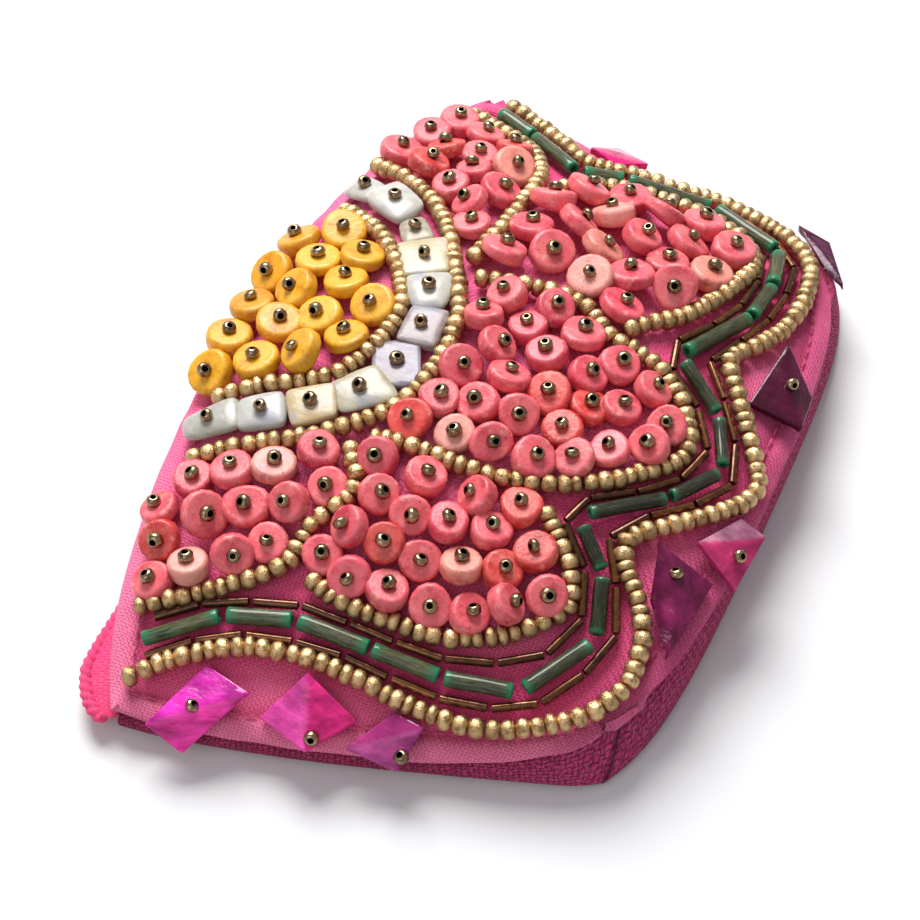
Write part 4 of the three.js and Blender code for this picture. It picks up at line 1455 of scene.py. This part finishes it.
@dataclass
class GoldStrings:
    """Strings of gold seed beads of uneven width."""

    radius: float = 1.36
    narrow: float = 1.35
    wide: float = 2.2
    lift: float = GAP + 0.1 + 1.2
    ahead: float = 0.6
    tails: tuple[tuple[str, float, float], ...] = (
        ("petal_1", 1.4, 0.0), ("petal_2", 0.0, 0.8), ("petal_3", 0.8, 1.4), ("petal_4", 0.0, 1.7),
        ("petal_5", 2.6, 0.0))

    def line(self, name: str) -> Array:
        """Returns a string's line, run on past its ends until it meets its neighbours.

        Args:
            name: Name of the string.

        Returns:
            Flat points.
        """
        flat = smooth_route(GOLD_ROUTES[name], 0.1)
        for tail, first, last in self.tails:
            if tail == name:
                before = flat[0] - unit(flat[8] - flat[0]) * first
                after = flat[-1] + unit(flat[-1] - flat[-9]) * last
                flat = respace(np.concatenate([[before], flat, [after]]), 0.1)
        return flat

    def build(self, bench: Bench) -> None:
        """Threads every string.

        Args:
            bench: The workbench.
        """
        bead = bench.bead(sides=12, flat=0.68, soften=0.5, steps=2)
        for number, name in enumerate(GOLD_ROUTES):
            rng = np.random.default_rng(Seed.GOLD + number)
            line = bench.front.lay(self.line(name), self.lift)
            run = distances(line)
            widths = []
            while sum(widths) < run[-1] - 1.0:
                widths.append(rng.uniform(self.narrow, self.wide))
            widths = np.array(widths) * (run[-1] / sum(widths))
            middles = np.cumsum(widths) - widths / 2
            place = sample(line, run, middles)
            ahead = sample(line, run, middles + self.ahead) - sample(line, run, middles - self.ahead)
            normal = bench.front.normal(place[:, :2])
            ahead = unit(ahead) + rng.normal(0, 0.07, place.shape)
            size = self.radius * rng.uniform(0.93, 1.06, len(place))
            spin = rng.uniform(0, FULL_TURN, len(place))
            frames = frames_from(ahead, normal, spin, (size, size, widths / 2 * 0.97))
            place = place + rng.normal(0, 0.06, place.shape)
            string = bench.piece(f"gold_{name}_beads", bead.stamp(frames, place), GOLD, smooth=50)
            bench.paint(string, "tone", np.repeat(rng.uniform(0, 1, len(place)) ** 2, len(bead.points)))
            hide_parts(f"gold_{name}")


@dataclass
class BugleLines:
    """Lines of glass bugles on both sides of the stem."""

    radius: float = 0.62
    length: float = 6.2
    gap: float = 0.35
    lift: float = GAP + 0.75
    bulge: float = 0.08

    def build(self, bench: Bench) -> None:
        """Lays both lines.

        Args:
            bench: The workbench.
        """
        bead = bench.bead(sides=8, flat=4.5, soften=0.14, steps=1, wall=0.4)
        for number, (name, route) in enumerate(BUGLE_ROUTES.items()):
            rng = np.random.default_rng(Seed.BUGLES + number)
            line = smooth_route(route, 0.1)
            run = distances(line)
            count = int(round(run[-1] / (self.length + self.gap)))
            knots = np.linspace(0, run[-1], count + 1)
            ends = bench.front.lay(sample(line, run, knots), self.lift)
            ahead = np.diff(ends, axis=0)
            long = np.linalg.norm(ahead, axis=1)
            place = (ends[1:] + ends[:-1]) / 2 + UP * self.bulge
            axis = ahead + rng.normal(0, 0.12, ahead.shape)
            spin = rng.uniform(0, FULL_TURN, count)
            half = (long - self.gap) / 2 * rng.uniform(0.93, 1.0, count)
            thick = np.full(count, self.radius) * rng.uniform(0.95, 1.04, count)
            glass = bead.stamp(frames_from(axis, UP, spin, (thick, thick, half)), place)
            tubes = bench.piece(f"bugles_{name}_glass", glass, COPPER, smooth=60, flat=True)
            bench.paint(tubes, "tone", np.repeat(rng.uniform(0, 1, count), len(bead.points)))
            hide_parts(f"bugles_{name}")


@dataclass
class Stem:
    """The green stem: one bone tube between each two joints."""

    radius: float = 1.14
    gap: float = 0.3
    lift: float = GAP + 1.35
    room: float = 1.2
    cuts: int = 9
    cut_reach: float = 0.78
    shades: tuple[float, ...] = (
        0.1, 0.25, 0.15, 0.2, 0.5, 0.5, 0.93, 0.95, 0.93, 0.88,
        0.85, 0.7, 0.4, 0.4, 0.15, 0.3, 0.3, 0.2, 0.3, 0.2,
    )

    def build(self, bench: Bench) -> None:
        """Makes every tube as its own piece.

        Args:
            bench: The workbench.
        """
        joints = np.array(STEM_JOINTS, float)
        rings = np.linspace(-self.cut_reach, self.cut_reach, self.cuts)
        bead = self.divided(bench.bead(sides=16, flat=3.5, soften=0.22, steps=2, wall=0.5), rings)
        for i, shade in enumerate(self.shades):
            rng = np.random.default_rng(Seed.STEM + i)
            way = unit(joints[i + 1] - joints[i])
            start = joints[i] + way * self.shorten(joints, i)
            end = joints[i + 1] - way * self.shorten(joints, i + 1)
            a, b = bench.front.lay(np.stack([start, end]), self.lift)
            half = np.linalg.norm(b - a) / 2
            spin = rng.uniform(0, FULL_TURN, 1)
            local = bead.points.copy()
            angle = np.arctan2(local[:, 1], local[:, 0])
            oval = 0.05 * np.cos(2 * angle + i)
            bow = 0.04 * np.sin(3.1 * local[:, 2] + i) * np.cos(angle + 2 * i)
            local[:, :2] *= (1 + oval + bow)[:, None] * rng.uniform(0.93, 1.03)
            radius = self.radius * (1.06 - 0.2 * shade)
            frame = frames_from((b - a)[None], UP, spin, np.array([[radius], [radius], [half]]))
            shape = bead.stamp(frame, ((a + b) / 2)[None], local[None])
            tube = bench.piece(f"stem_tube_{i + 1:02d}_bone", shape, BONE, smooth=50)
            grain = np.stack([local[:, 2] * half / 2 + 7 * i, np.cos(angle), np.sin(angle) + 3 * i], 1)
            bench.paint(tube, "grain", grain)
            dyed = 1.6 - 0.8 * shade
            tip = np.clip((np.abs(local[:, 2]) - 1 + dyed / half) / (0.9 / half), 0, 1)
            bench.paint(tube, "ends", tip * (0.95 - 0.2 * shade))
            bench.paint(tube, "shade", np.full(len(tip), shade))
            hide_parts(f"stem_tube_{i + 1:02d}")

    @staticmethod
    def divided(bead: Pattern, rings: Array) -> Pattern:
        """Cuts the long sides of a bead into shorter faces.

        Args:
            bead: A bead along its third axis.
            rings: Places of the cuts.

        Returns:
            The bead with more faces.
        """
        mesh = bpy.data.meshes.new("tube_blank")
        faces = [bead.corners[s:s + t].tolist() for s, t in zip(bead.starts, bead.totals)]
        mesh.from_pydata(bead.points.tolist(), [], faces)
        blank = bpy.data.objects.new("tube_blank", mesh)
        bpy.context.collection.objects.link(blank)
        Bench.choose(blank)
        bpy.ops.object.mode_set(mode="EDIT")
        for place in rings:
            bpy.ops.mesh.select_all(action="SELECT")
            bpy.ops.mesh.bisect(plane_co=(0, 0, float(place)), plane_no=(0, 0, 1))
        bpy.ops.object.mode_set(mode="OBJECT")
        return Pattern.take(blank)

    def shorten(self, joints: Array, i: int) -> float:
        """Returns how far a tube stops short of a joint, more where the stem turns."""
        if i in (0, len(joints) - 1):
            return 0.0
        before, after = unit(joints[i - 1] - joints[i]), unit(joints[i + 1] - joints[i])
        half = math.acos(float(np.clip(before @ after, -1, 1))) / 2
        return self.gap + self.room / math.tan(half)


@dataclass(frozen=True)
class Field:
    """One field of disc beads: how many it holds, and where they are packed."""

    name: str
    heart: tuple[float, float]
    reach: float
    turn: float
    count: int
    seed: int


FIELDS = (
    Field("petal_beads_1", (-20.4, -33.6), 16, 36, 14, 1),
    Field("petal_beads_2", (4.8, -30.8), 20, 8, 21, 2),
    Field("petal_beads_3", (9.6, -2.6), 20, 12, 27, 3),
    Field("petal_beads_4", (9, 30.4), 20, 22, 20, 4),
    Field("petal_beads_5", (-19.4, 37.6), 18, 12, 14, 5),
    Field("centre_beads", (-28.2, 0.2), 18, 90, 16, 6),
)


class BeadDye(Enum):
    """Dyes of the disc beads."""

    PINK = (0.75, 0.105, 0.135)
    ROSE = (0.69, 0.07, 0.11)
    RED = (0.64, 0.05, 0.045)
    PEACH = (0.76, 0.25, 0.19)
    PALE = (0.74, 0.29, 0.24)
    MUSTARD = (0.77, 0.37, 0.012)
    HONEY = (0.68, 0.29, 0.008)


@dataclass
class DiscFields:
    """Fields of sewn discs, each held by a small bronze stopper bead."""

    loose: float = 6.4
    clear: float = 3.3
    apart: float = 6.8
    fence: float = 3.9
    small: float = 2.8
    large: float = 3.3
    thick: float = 2.3
    stopper: float = 1.0
    ends: float = 0.87
    tipped: float = 0.1
    tip_by: float = 1.9
    scatter: float = 0.22
    lean: float = 0.27
    prop: float = 0.45
    slack: float = 0.6
    stopper_lean: float = 0.38
    tighten: float = 0.1
    rounds: int = 220
    pace: float = 0.3
    string_push: float = 3.0
    mouth_push: float = 75.0
    end_push: float = 55.0

    @staticmethod
    def margin(v: Array) -> Array:
        """Returns how far from the zip edge the discs start, more towards its two ends."""
        return 0.03 + 0.07 * v**2

    def places(self, front: PuffedFront, field: Field) -> Array:
        """Packs a field's discs: a lattice that is tight enough, then pushed apart until it is even.

        Args:
            front: The puffed surface.
            field: The field.

        Returns:
            Flat places of the discs.
        """
        fences = [respace(smooth_route(route, 0.2), 0.8) for route in GOLD_ROUTES.values()]
        pitch = self.loose
        spots = self.lattice(front, field, fences, pitch)
        while len(spots) < field.count:
            pitch -= self.tighten
            spots = self.lattice(front, field, fences, pitch)
        posts = np.concatenate(fences)
        room = np.min(np.linalg.norm(spots[:, None] - posts[None], axis=2), axis=1)
        spots = spots[np.sort(np.argsort(-room)[:field.count])]
        for _ in range(self.rounds):
            gap = spots[:, None] - spots[None]
            far = np.linalg.norm(gap, axis=2) + NOWHERE * np.eye(len(spots))
            push = (gap / far[..., None] * np.clip(self.apart - far, 0, None)[..., None]).sum(1) / 2
            wall = spots[:, None] - posts[None]
            reach = np.linalg.norm(wall, axis=2)
            nearest = reach.argmin(1)
            rows = np.arange(len(spots))
            short = np.clip(self.fence - reach[rows, nearest], 0, None)
            back = wall[rows, nearest] / reach[rows, nearest][:, None]
            push += back * short[:, None] * self.string_push
            u, v = front.locate(spots)
            push[:, 0] += np.clip(self.margin(v) - u, 0, None) * self.mouth_push
            push[:, 1] -= np.sign(v) * np.clip(np.abs(v) - self.ends, 0, None) * self.end_push
            spots = spots + self.pace * push
        return spots

    def lattice(self, front: PuffedFront, field: Field, fences: Sequence[Array], pitch: float) -> Array:
        """Finds the places of a triangular lattice that no string cuts off from the field's heart.

        Args:
            front: The puffed surface.
            field: The field.
            fences: Lines of the strings.
            pitch: Distance between neighbours.

        Returns:
            Flat places.
        """
        heart = np.array(field.heart)
        rows = math.ceil(field.reach / pitch * 1.2)
        turn = math.radians(field.turn)
        spin = np.array([[math.cos(turn), -math.sin(turn)], [math.sin(turn), math.cos(turn)]])
        found = []
        for row in range(-rows, rows + 1):
            for step in range(-rows, rows + 1):
                local = np.array([step + abs(row) % 2 / 2, row * math.sqrt(3) / 2]) * pitch
                place = spin @ local + heart
                u, v = front.locate(place)
                inside = self.margin(v) < u < 1 and abs(v) < self.ends
                if not inside or np.linalg.norm(place - heart) > field.reach:
                    continue
                if all(self.open(heart, place, line) for line in fences):
                    found.append(place)
        return np.array(found).reshape(-1, 2)

    def open(self, heart: Array, place: Array, line: Array) -> bool:
        """Returns whether a string leaves room at a place and doesn't stand between it and the heart."""
        if np.min(np.linalg.norm(line - place, axis=1)) < self.clear:
            return False

        def side(p: Array, q: Array, r: Array) -> Array:
            """Returns on which side of a line points lie."""
            d, e = q - p, r - p
            return d[..., 0] * e[..., 1] - d[..., 1] * e[..., 0]

        a, b = line[:-1], line[1:]
        cut = side(heart, place, a) * side(heart, place, b) < 0
        return not np.any(cut & (side(a, b, heart) * side(a, b, place) < 0))

    def build(self, bench: Bench, stopper: Pattern) -> None:
        """Makes every field and its stoppers.

        Args:
            bench: The workbench.
            stopper: Shape of a stopper.
        """
        disc = bench.bead(sides=16, flat=0.4, soften=0.22, steps=2)
        for field in FIELDS:
            self.sew(bench, field, disc, stopper)

    def sew(self, bench: Bench, field: Field, disc: Pattern, stopper: Pattern) -> None:
        """Sews one field.

        Args:
            bench: The workbench.
            field: The field.
            disc: Shape of a disc.
            stopper: Shape of a stopper.
        """
        rng = np.random.default_rng(Seed.DISCS + field.seed)
        flat = self.places(bench.front, field)
        count = len(flat)
        gaps = np.linalg.norm(flat[:, None] - flat[None], axis=2) + NOWHERE * np.eye(count)
        flat = flat + rng.normal(0, self.scatter, flat.shape)
        normal = bench.front.normal(flat)
        lean = rng.normal(0, self.lean, (count, 3))
        lean[:, 2] = 0
        chance = np.random.default_rng(Seed.TIPPED + field.seed).random(count)
        lean[chance < self.tipped] *= self.tip_by
        axis = unit(normal + lean)
        tilt = np.linalg.norm(lean, axis=1)
        size = np.clip(gaps.min(1) / 2 * rng.uniform(1.06, 1.16, count), self.small, self.large)
        thick = self.thick * rng.uniform(0.85, 1.2, count)
        rise = GAP + thick / 2 + size * tilt * self.prop + rng.uniform(0, self.slack, count)
        place = bench.front.lay(flat) + normal * rise[:, None]
        spin = rng.uniform(0, FULL_TURN, count)
        frames = frames_from(axis, (0.3, 1.0, 0.2), spin, (size, size, thick / 2))
        mustard = field.name == "centre_beads"
        finish = MUSTARD if mustard else CORAL
        shape = disc.stamp(frames, place, self.uneven(rng, disc, count))
        beads = bench.piece(f"{field.name}_discs", shape, finish, smooth=60, flat=True)
        tints = self.tints(rng, count, mustard)
        bench.paint(beads, "tint", np.repeat(tints, len(disc.points), axis=0))
        rim = np.clip((np.hypot(disc.points[:, 0], disc.points[:, 1]) - 0.6) / 0.3, 0, 1)
        bench.paint(beads, "rim", np.tile(rim, count))
        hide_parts(field.name)
        top = place + axis * (thick / 2 + self.stopper * 0.52)[:, None]
        self.stop(bench, f"{field.name}_stoppers", stopper, top, axis, rng)

    @staticmethod
    def uneven(rng: np.random.Generator, disc: Pattern, count: int) -> Array:
        """Wears each disc's outline and thickness in its own way.

        Args:
            rng: Source of the wear.
            disc: Shape of a disc.
            count: How many discs there are.

        Returns:
            Each disc's points.
        """
        x, y, z = disc.points.T
        around = np.arctan2(y, x)[None]
        wide, three, wedge, phase = rng.normal(0, 1, (4, count, 1))
        outline = 1 + 0.03 * wide * np.cos(2 * around) + 0.02 * three * np.cos(3 * around + 3 * phase)
        height = 1 + 0.16 * wedge * x[None] + 0.1 * three * y[None]
        return np.stack([x * outline, y * outline, z * height], axis=-1)

    def stop(self, bench: Bench, name: str, bead: Pattern, top: Array, axis: Array,
             rng: np.random.Generator) -> None:
        """Sets a stopper bead on each place.

        Args:
            bench: The workbench.
            name: Name of the piece.
            bead: Shape of a stopper.
            top: Places of the stoppers.
            axis: Directions that the threads come up in.
            rng: Source of the uneven sizes and turns.
        """
        count = len(top)
        lean = rng.normal(0, self.stopper_lean, (count, 3))
        spin = rng.uniform(0, FULL_TURN, count)
        size = self.stopper * rng.uniform(0.92, 1.12, count)
        deep = size * rng.uniform(0.55, 0.72, count)
        frames = frames_from(axis + lean, (0.2, 1.0, 0.4), spin, (size, size, deep))
        stops = bench.piece(name, bead.stamp(frames, top), BRONZE, smooth=70, flat=True)
        bench.paint(stops, "tone", np.repeat(rng.uniform(0, 1, count), len(bead.points)))
        x, y, z = bead.points.T
        # Points inside the hole, which get painted shade
        painted_hole_shade = (np.hypot(x, y) < 0.6) & (np.abs(z) < 0.7)
        bench.paint(stops, "painted_hole_shade", np.tile(painted_hole_shade, count))

    @staticmethod
    def tints(rng: np.random.Generator, count: int, mustard: bool) -> Array:
        """Returns a dye for each disc, most of them the common one."""
        if mustard:
            dyes, odds = (BeadDye.MUSTARD, BeadDye.HONEY), (0.7, 0.3)
        else:
            dyes = (BeadDye.PINK, BeadDye.ROSE, BeadDye.RED, BeadDye.PEACH, BeadDye.PALE)
            odds = (0.58, 0.24, 0.09, 0.07, 0.02)
        table = np.array([dye.value for dye in dyes])
        chosen = table[rng.choice(len(dyes), count, p=odds)]
        return np.clip(chosen * rng.uniform(0.88, 1.1, (count, 1)), 0, 1)


@dataclass(frozen=True)
class Chip:
    """One pearl chip: its shares of the full size, height, turn, narrower end, roundness and colour."""

    along: float
    across: float
    thick: float
    turn: float
    taper: float
    round: float
    colour: Colour


CHIPS = (
    Chip(1.3, 1.16, 2.6, 8, 0.34, 0.95, (0.36, 0.35, 0.31)),
    Chip(1, 1.04, 2.5, -4, 0.1, 0.8, (0.42, 0.42, 0.39)),
    Chip(1, 1.04, 2.3, 5, -0.1, 0.5, (0.48, 0.36, 0.19)),
    Chip(1.28, 1.28, 2, -18, 0.2, 0.8, (0.4, 0.36, 0.26)),
    Chip(1.14, 1.2, 1.5, 105, 0.05, 0.35, (0.19, 0.145, 0.2)),
    Chip(1, 1.06, 2.2, 12, -0.1, 0.5, (0.24, 0.18, 0.2)),
    Chip(1.12, 1.24, 2.6, -6, 0.35, 1.1, (0.48, 0.46, 0.41)),
    Chip(1.1, 1.14, 2.2, 4, 0.05, 0.4, (0.5, 0.41, 0.25)),
    Chip(0.88, 0.94, 1.8, -10, -0.25, 0.7, (0.33, 0.29, 0.21)),
    Chip(1.24, 1.3, 2.8, 6, 0.2, 1.0, (0.5, 0.48, 0.44)),
    Chip(0.86, 1, 1.8, 0, 0.2, 0.6, (0.44, 0.43, 0.41)),
)


@dataclass
class PearlRing:
    """Pearl chips between the two gold rings."""

    long: float = 6.9
    wide: float = 5.8
    first: float = 0.35
    spare: float = 0.3
    lift: float = GAP + 0.15
    stopper_lift: float = 0.55

    def build(self, bench: Bench, stopper: Pattern, fields: DiscFields) -> None:
        """Makes every chip and the stoppers that hold them.

        Args:
            bench: The workbench.
            stopper: Shape of a stopper.
            fields: The fields, which know how a stopper is set.
        """
        inner = smooth_route(GOLD_ROUTES["ring_inner"], 0.1)
        outer = smooth_route(GOLD_ROUTES["ring_outer"], 0.1)
        tops, axes = [], []
        for i, chip in enumerate(CHIPS):
            t = (i + self.first) / (len(CHIPS) - self.spare)
            place, heading = self.midway(inner, outer, t)
            heading += math.radians(chip.turn / 3)
            normal = bench.front.normal(place[None])[0]
            middle = bench.front.lay(place) + normal * (self.lift + chip.thick / 2)
            along = np.array([math.cos(heading), math.sin(heading), 0])
            side = unit(np.cross(normal, along))
            frame = np.stack([np.cross(side, normal), side, normal], axis=-1)[None]
            pebble = self.pebble(bench, chip, i)
            shape = pebble.stamp(frame, middle[None])
            piece = bench.piece(f"pearl_chip_{i + 1:02d}_nacre", shape, PEARL, smooth=60)
            bench.paint(piece, "tint", np.tile(chip.colour, (len(pebble.points), 1)))
            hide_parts(f"pearl_chip_{i + 1:02d}")
            tops.append(middle + normal * (chip.thick / 2 + self.stopper_lift))
            axes.append(normal)
        rng = np.random.default_rng(Seed.PEARLS.value)
        fields.stop(bench, "pearl_stoppers", stopper, np.array(tops), np.array(axes), rng)

    @staticmethod
    def midway(inner: Array, outer: Array, t: float) -> tuple[Array, float]:
        """Returns the place and heading midway between the rings."""
        def at(s: float) -> Array:
            """Returns the middle of the two rings at a share of their length."""
            s = min(max(s, 0.0), 1.0)
            a, b = (line[int(round(s * (len(line) - 1)))] for line in (inner, outer))
            return (a + b) / 2

        ahead = at(t + 0.02) - at(t - 0.02)
        return at(t), math.atan2(ahead[1], ahead[0])

    def pebble(self, bench: Bench, chip: Chip, number: int) -> Pattern:
        """Models a rounded plate with uneven sides.

        Args:
            bench: The workbench.
            chip: Sizes of the chip.
            number: Place of the chip in the ring, which seeds its unevenness.

        Returns:
            The chip's shape in millimetres.
        """
        rng = np.random.default_rng(Seed.PEBBLES + number)
        block = bench.primitive(bpy.ops.mesh.primitive_cube_add, size=2)
        for point in block.data.vertices:
            skew = rng.normal(0, 0.1, 3)
            end = 1 - abs(chip.taper) * (0.5 - 0.5 * point.co.x * math.copysign(1, chip.taper))
            point.co.x = (point.co.x + skew[0]) * self.long * chip.along / 2
            point.co.y = (point.co.y + skew[1]) * end * self.wide * chip.across / 2
            point.co.z = (point.co.z + max(skew[2], -0.05)) * chip.thick / 2
        bench.choose(block)
        bpy.ops.object.mode_set(mode="EDIT")
        bpy.ops.mesh.select_all(action="SELECT")
        bpy.ops.mesh.bevel(offset=chip.round, segments=1)
        bpy.ops.object.mode_set(mode="OBJECT")
        bench.modify(block, "SUBSURF", levels=2, render_levels=2)
        return Pattern.take(block)


class Ridge(Enum):
    """Which two corners the fold of a diamond joins."""

    FIRST = 0
    SECOND = 1


@dataclass(frozen=True)
class Diamond:
    """One shell diamond: its corners seen from above, stopper, fold, and the colours of its two halves; the
    fourth plate's darker half is painted shade.
    """

    corners: Route
    stopper: tuple[float, float] | None
    ridge: Ridge
    fold: float
    colour: Colour
    other: Colour


DIAMONDS = (
    Diamond(((-19.4, -63), (-13.7, -64.3), (-8.4, -54.6), (-15.5, -53.6)), (-14.6, -58.7), Ridge.FIRST, 1.9,
            (0.62, 0.025, 0.26), (0.56, 0.02, 0.33)),
    Diamond(((-6.5, -56.7), (0.9, -58), (5.5, -52.3), (-2.6, -49.7)), (1, -56.2), Ridge.SECOND, 1.8,
            (0.62, 0.02, 0.18), (0.62, 0.05, 0.3)),
    Diamond(((5.2, -55.6), (12.3, -55.5), (13.6, -49.6), (9.2, -49.5)), (12.3, -53.6), Ridge.FIRST, 0.8,
            (0.38, 0.045, 0.21), (0.34, 0.025, 0.16)),
    # The darker second half of this plate is painted shade on the facet that faces away from the light
    Diamond(((33.4, -23.3), (38.1, -30.1), (39.8, -17), (31.2, -16.3)), (34.8, -19), Ridge.SECOND, 2.0,
            (0.125, 0.006, 0.046), (0.085, 0.001, 0.03)),
    Diamond(((35.6, -13.4), (42.6, -15.8), (43, -7), (39.5, -5.8)), (40.9, -12), Ridge.FIRST, 1.3,
            (0.4, 0.025, 0.11), (0.36, 0.15, 0.22)),
    Diamond(((34, 11.2), (41.6, 10.9), (41.4, 17.8), (35, 23.3)), (37.8, 16.6), Ridge.SECOND, 1.3,
            (0.068, 0.0015, 0.021), (0.05, 0.0015, 0.015)),
    Diamond(((36.2, 40.2), (38.3, 38.8), (33.4, 48.2), (28.2, 49.6)), None, Ridge.SECOND, 0.5,
            (0.06, 0.003, 0.028), (0.05, 0.003, 0.024)),
    Diamond(((-1, 50.2), (3.2, 52.4), (-3, 57), (-5.6, 50.6)), None, Ridge.SECOND, 1.2,
            (0.6, 0.14, 0.24), (0.58, 0.015, 0.15)),
)


@dataclass
class HemDiamonds:
    """Dyed shell diamonds sewn along the hem."""

    thick: float = 1.1
    sewn: float = 2.4
    lift: float = 1.7
    across: int = 12
    worn: float = 0.28
    sharp: float = 50.0
    stopper_lift: float = 1.3

    def build(self, bench: Bench, stopper: Pattern, fields: DiscFields) -> None:
        """Makes every diamond and the stoppers that hold them.

        Args:
            bench: The workbench.
            stopper: Shape of a stopper.
            fields: The fields, which know how a stopper is set.
        """
        tops, axes = [], []
        for i, diamond in enumerate(DIAMONDS):
            corners = np.array(diamond.corners, float)
            middle = corners.mean(0)
            root = middle - unit(middle) * self.sewn
            normal = bench.front.normal(root[None])[0]
            base = bench.front.lay(root) + normal * self.lift
            frame = frames_from(normal[None], (0, 1.0, 0), np.zeros(1))
            local = (self.on_plane(corners, base, normal) - base) @ frame[0]
            plate, halves = self.plate(bench, diamond, local[:, :2])
            name = f"shell_diamond_{i + 1:02d}"
            piece = bench.piece(f"{name}_plate", plate.stamp(frame, base[None]), SHELL, smooth=22)
            # Colours each half; the fourth plate's darker half is painted shade
            tint = np.array(diamond.colour) + np.outer(halves, np.array(diamond.other) - diamond.colour)
            bench.paint(piece, "tint", tint)
            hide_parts(name)
            if diamond.stopper is not None:
                top = self.on_plane(np.array([diamond.stopper]), base, normal)[0]
                tops.append(top + normal * self.stopper_lift)
                axes.append(normal)
        rng = np.random.default_rng(Seed.DIAMONDS.value)
        fields.stop(bench, "diamond_stoppers", stopper, np.array(tops), np.array(axes), rng)

    @staticmethod
    def on_plane(flat: Array, base: Array, normal: Array) -> Array:
        """Lifts flat points onto a plane through a point."""
        rise = base[2] - (flat - base[:2]) @ normal[:2] / normal[2]
        return np.concatenate([flat, rise[:, None]], axis=1)

    def plate(self, bench: Bench, diamond: Diamond, corners: Array) -> tuple[Pattern, Array]:
        """Models a folded four-sided plate with worn edges.

        Args:
            bench: The workbench.
            diamond: Its fold.
            corners: Its corners on its own plane.

        Returns:
            The plate's shape in millimetres, and 1 for points on its second half.
        """
        plate = bench.primitive(
            bpy.ops.mesh.primitive_grid_add, x_subdivisions=self.across, y_subdivisions=self.across, size=1)
        a, b, c, d = corners
        for point in plate.data.vertices:
            s, t = point.co.x + 0.5, point.co.y + 0.5
            flat = (a * (1 - s) + b * s) * (1 - t) + (d * (1 - s) + c * s) * t
            away = abs(s - t) if diamond.ridge is Ridge.FIRST else abs(s + t - 1)
            point.co = (*flat, diamond.fold * (0.7 - away))
        bench.choose(plate)
        bench.modify(plate, "SOLIDIFY", thickness=self.thick, offset=-1)
        angle = math.radians(self.sharp)
        bench.modify(
            plate, "BEVEL", width=self.worn, segments=2, limit_method="ANGLE", angle_limit=angle)
        shape = Pattern.take(plate)
        first, last = (a, c) if diamond.ridge is Ridge.FIRST else (b, d)
        way, gap = last - first, shape.points[:, :2] - first
        side = way[0] * gap[:, 1] - way[1] * gap[:, 0]
        return shape, np.clip(side / np.linalg.norm(way) / 0.4 + 0.5, 0, 1)


@dataclass
class Studio:
    """White floor, soft light and a camera at the photo's view."""

    azimuth: float = 23.24
    elevation: float = 54.06
    roll: float = 1.49
    distance: float = 318.65
    target: tuple[float, float, float] = (1.43, -12.23, 12.0)
    focal: float = 92.49
    sensor: float = 36.0

    def build(self, front: PuffedFront) -> None:
        """Sets the stage.

        Args:
            front: The surface, which knows the layout's place.
        """
        self.camera(front)
        self.floor()
        self.lights()

    def camera(self, front: PuffedFront) -> None:
        """Places the camera."""
        a, e, r = (math.radians(x) for x in (self.azimuth, self.elevation, self.roll))
        back = np.array([math.sin(a) * math.cos(e), -math.cos(a) * math.cos(e), math.sin(e)])
        right = np.array([math.cos(a), math.sin(a), 0.0])
        up = np.cross(back, right)
        turned_right = right * math.cos(r) + up * math.sin(r)
        turned_up = up * math.cos(r) - right * math.sin(r)
        place = (np.array(self.target) + front.offset + back * self.distance) / MM_PER_METRE
        data = bpy.data.cameras.new("view")
        data.lens = self.focal
        data.sensor_width = self.sensor
        data.sensor_fit = "HORIZONTAL"
        data.clip_start = 0.01
        camera = bpy.data.objects.new("view", data)
        camera.matrix_world = self.matrix(turned_right, turned_up, back, place)
        bpy.context.collection.objects.link(camera)
        bpy.context.scene.camera = camera

    @staticmethod
    def floor() -> None:
        """Lays the white floor."""
        floor = Bench.primitive(bpy.ops.mesh.primitive_plane_add, size=6)
        floor.name = "studio_floor"
        graph = Graph("white_floor")
        graph.put("Base Color", (0.72, 0.72, 0.725))
        graph.put("Roughness", 0.6)
        graph.put("Specular IOR Level", 0.2)
        floor.data.materials.append(graph.made)

    @staticmethod
    def matrix(*columns: Sequence[float]) -> list[list[float]]:
        """Returns an object's matrix from its three axes and its place."""
        matrix = np.eye(4)
        matrix[:3] = np.array(columns).T
        return [list(row) for row in matrix.T]

    def lights(self) -> None:
        """Hangs a large soft key light behind and to the left, a fill light, and a white surround."""
        for name, place, size, power in (
            ("key", (-0.3, 0.38, 0.56), 0.48, 8.7),
            ("fill", (-0.1, -0.55, 0.5), 0.6, 1.1),
        ):
            data = bpy.data.lights.new(name, "AREA")
            data.shape = "DISK"
            data.size = size
            data.energy = power
            lamp = bpy.data.objects.new(name, data)
            bpy.context.collection.objects.link(lamp)
            back = unit(np.array(place))
            side = unit(np.cross(UP, back))
            lamp.matrix_world = self.matrix(side, np.cross(back, side), back, place)
        world = bpy.data.worlds.new("white_surround")
        world.use_nodes = True
        ground = world.node_tree.nodes["Background"]
        ground.inputs["Color"].default_value = (0.96, 0.955, 1, 1)
        ground.inputs["Strength"].default_value = 0.4
        bpy.context.scene.world = world
        bpy.context.scene.view_settings.view_transform = "Standard"


def main() -> None:
    """Builds every sub-assembly in order."""
    logging.basicConfig(level=logging.INFO, format="%(name)s: %(message)s")
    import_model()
    front = PuffedFront(SECTIONS)
    bench = Bench(front)
    Studio().build(front)
    for part in (FrontPanel(), BodyTray(), ZipEnd(), GoldStrings(), BugleLines(), Stem()):
        part.build(bench)
    stopper = bench.bead(sides=10, flat=0.65, soften=0.34, steps=1, wall=0.52)
    fields = DiscFields()
    fields.build(bench, stopper)
    for part in (PearlRing(), HemDiamonds()):
        part.build(bench, stopper, fields)


if __name__ == "__main__":
    main()
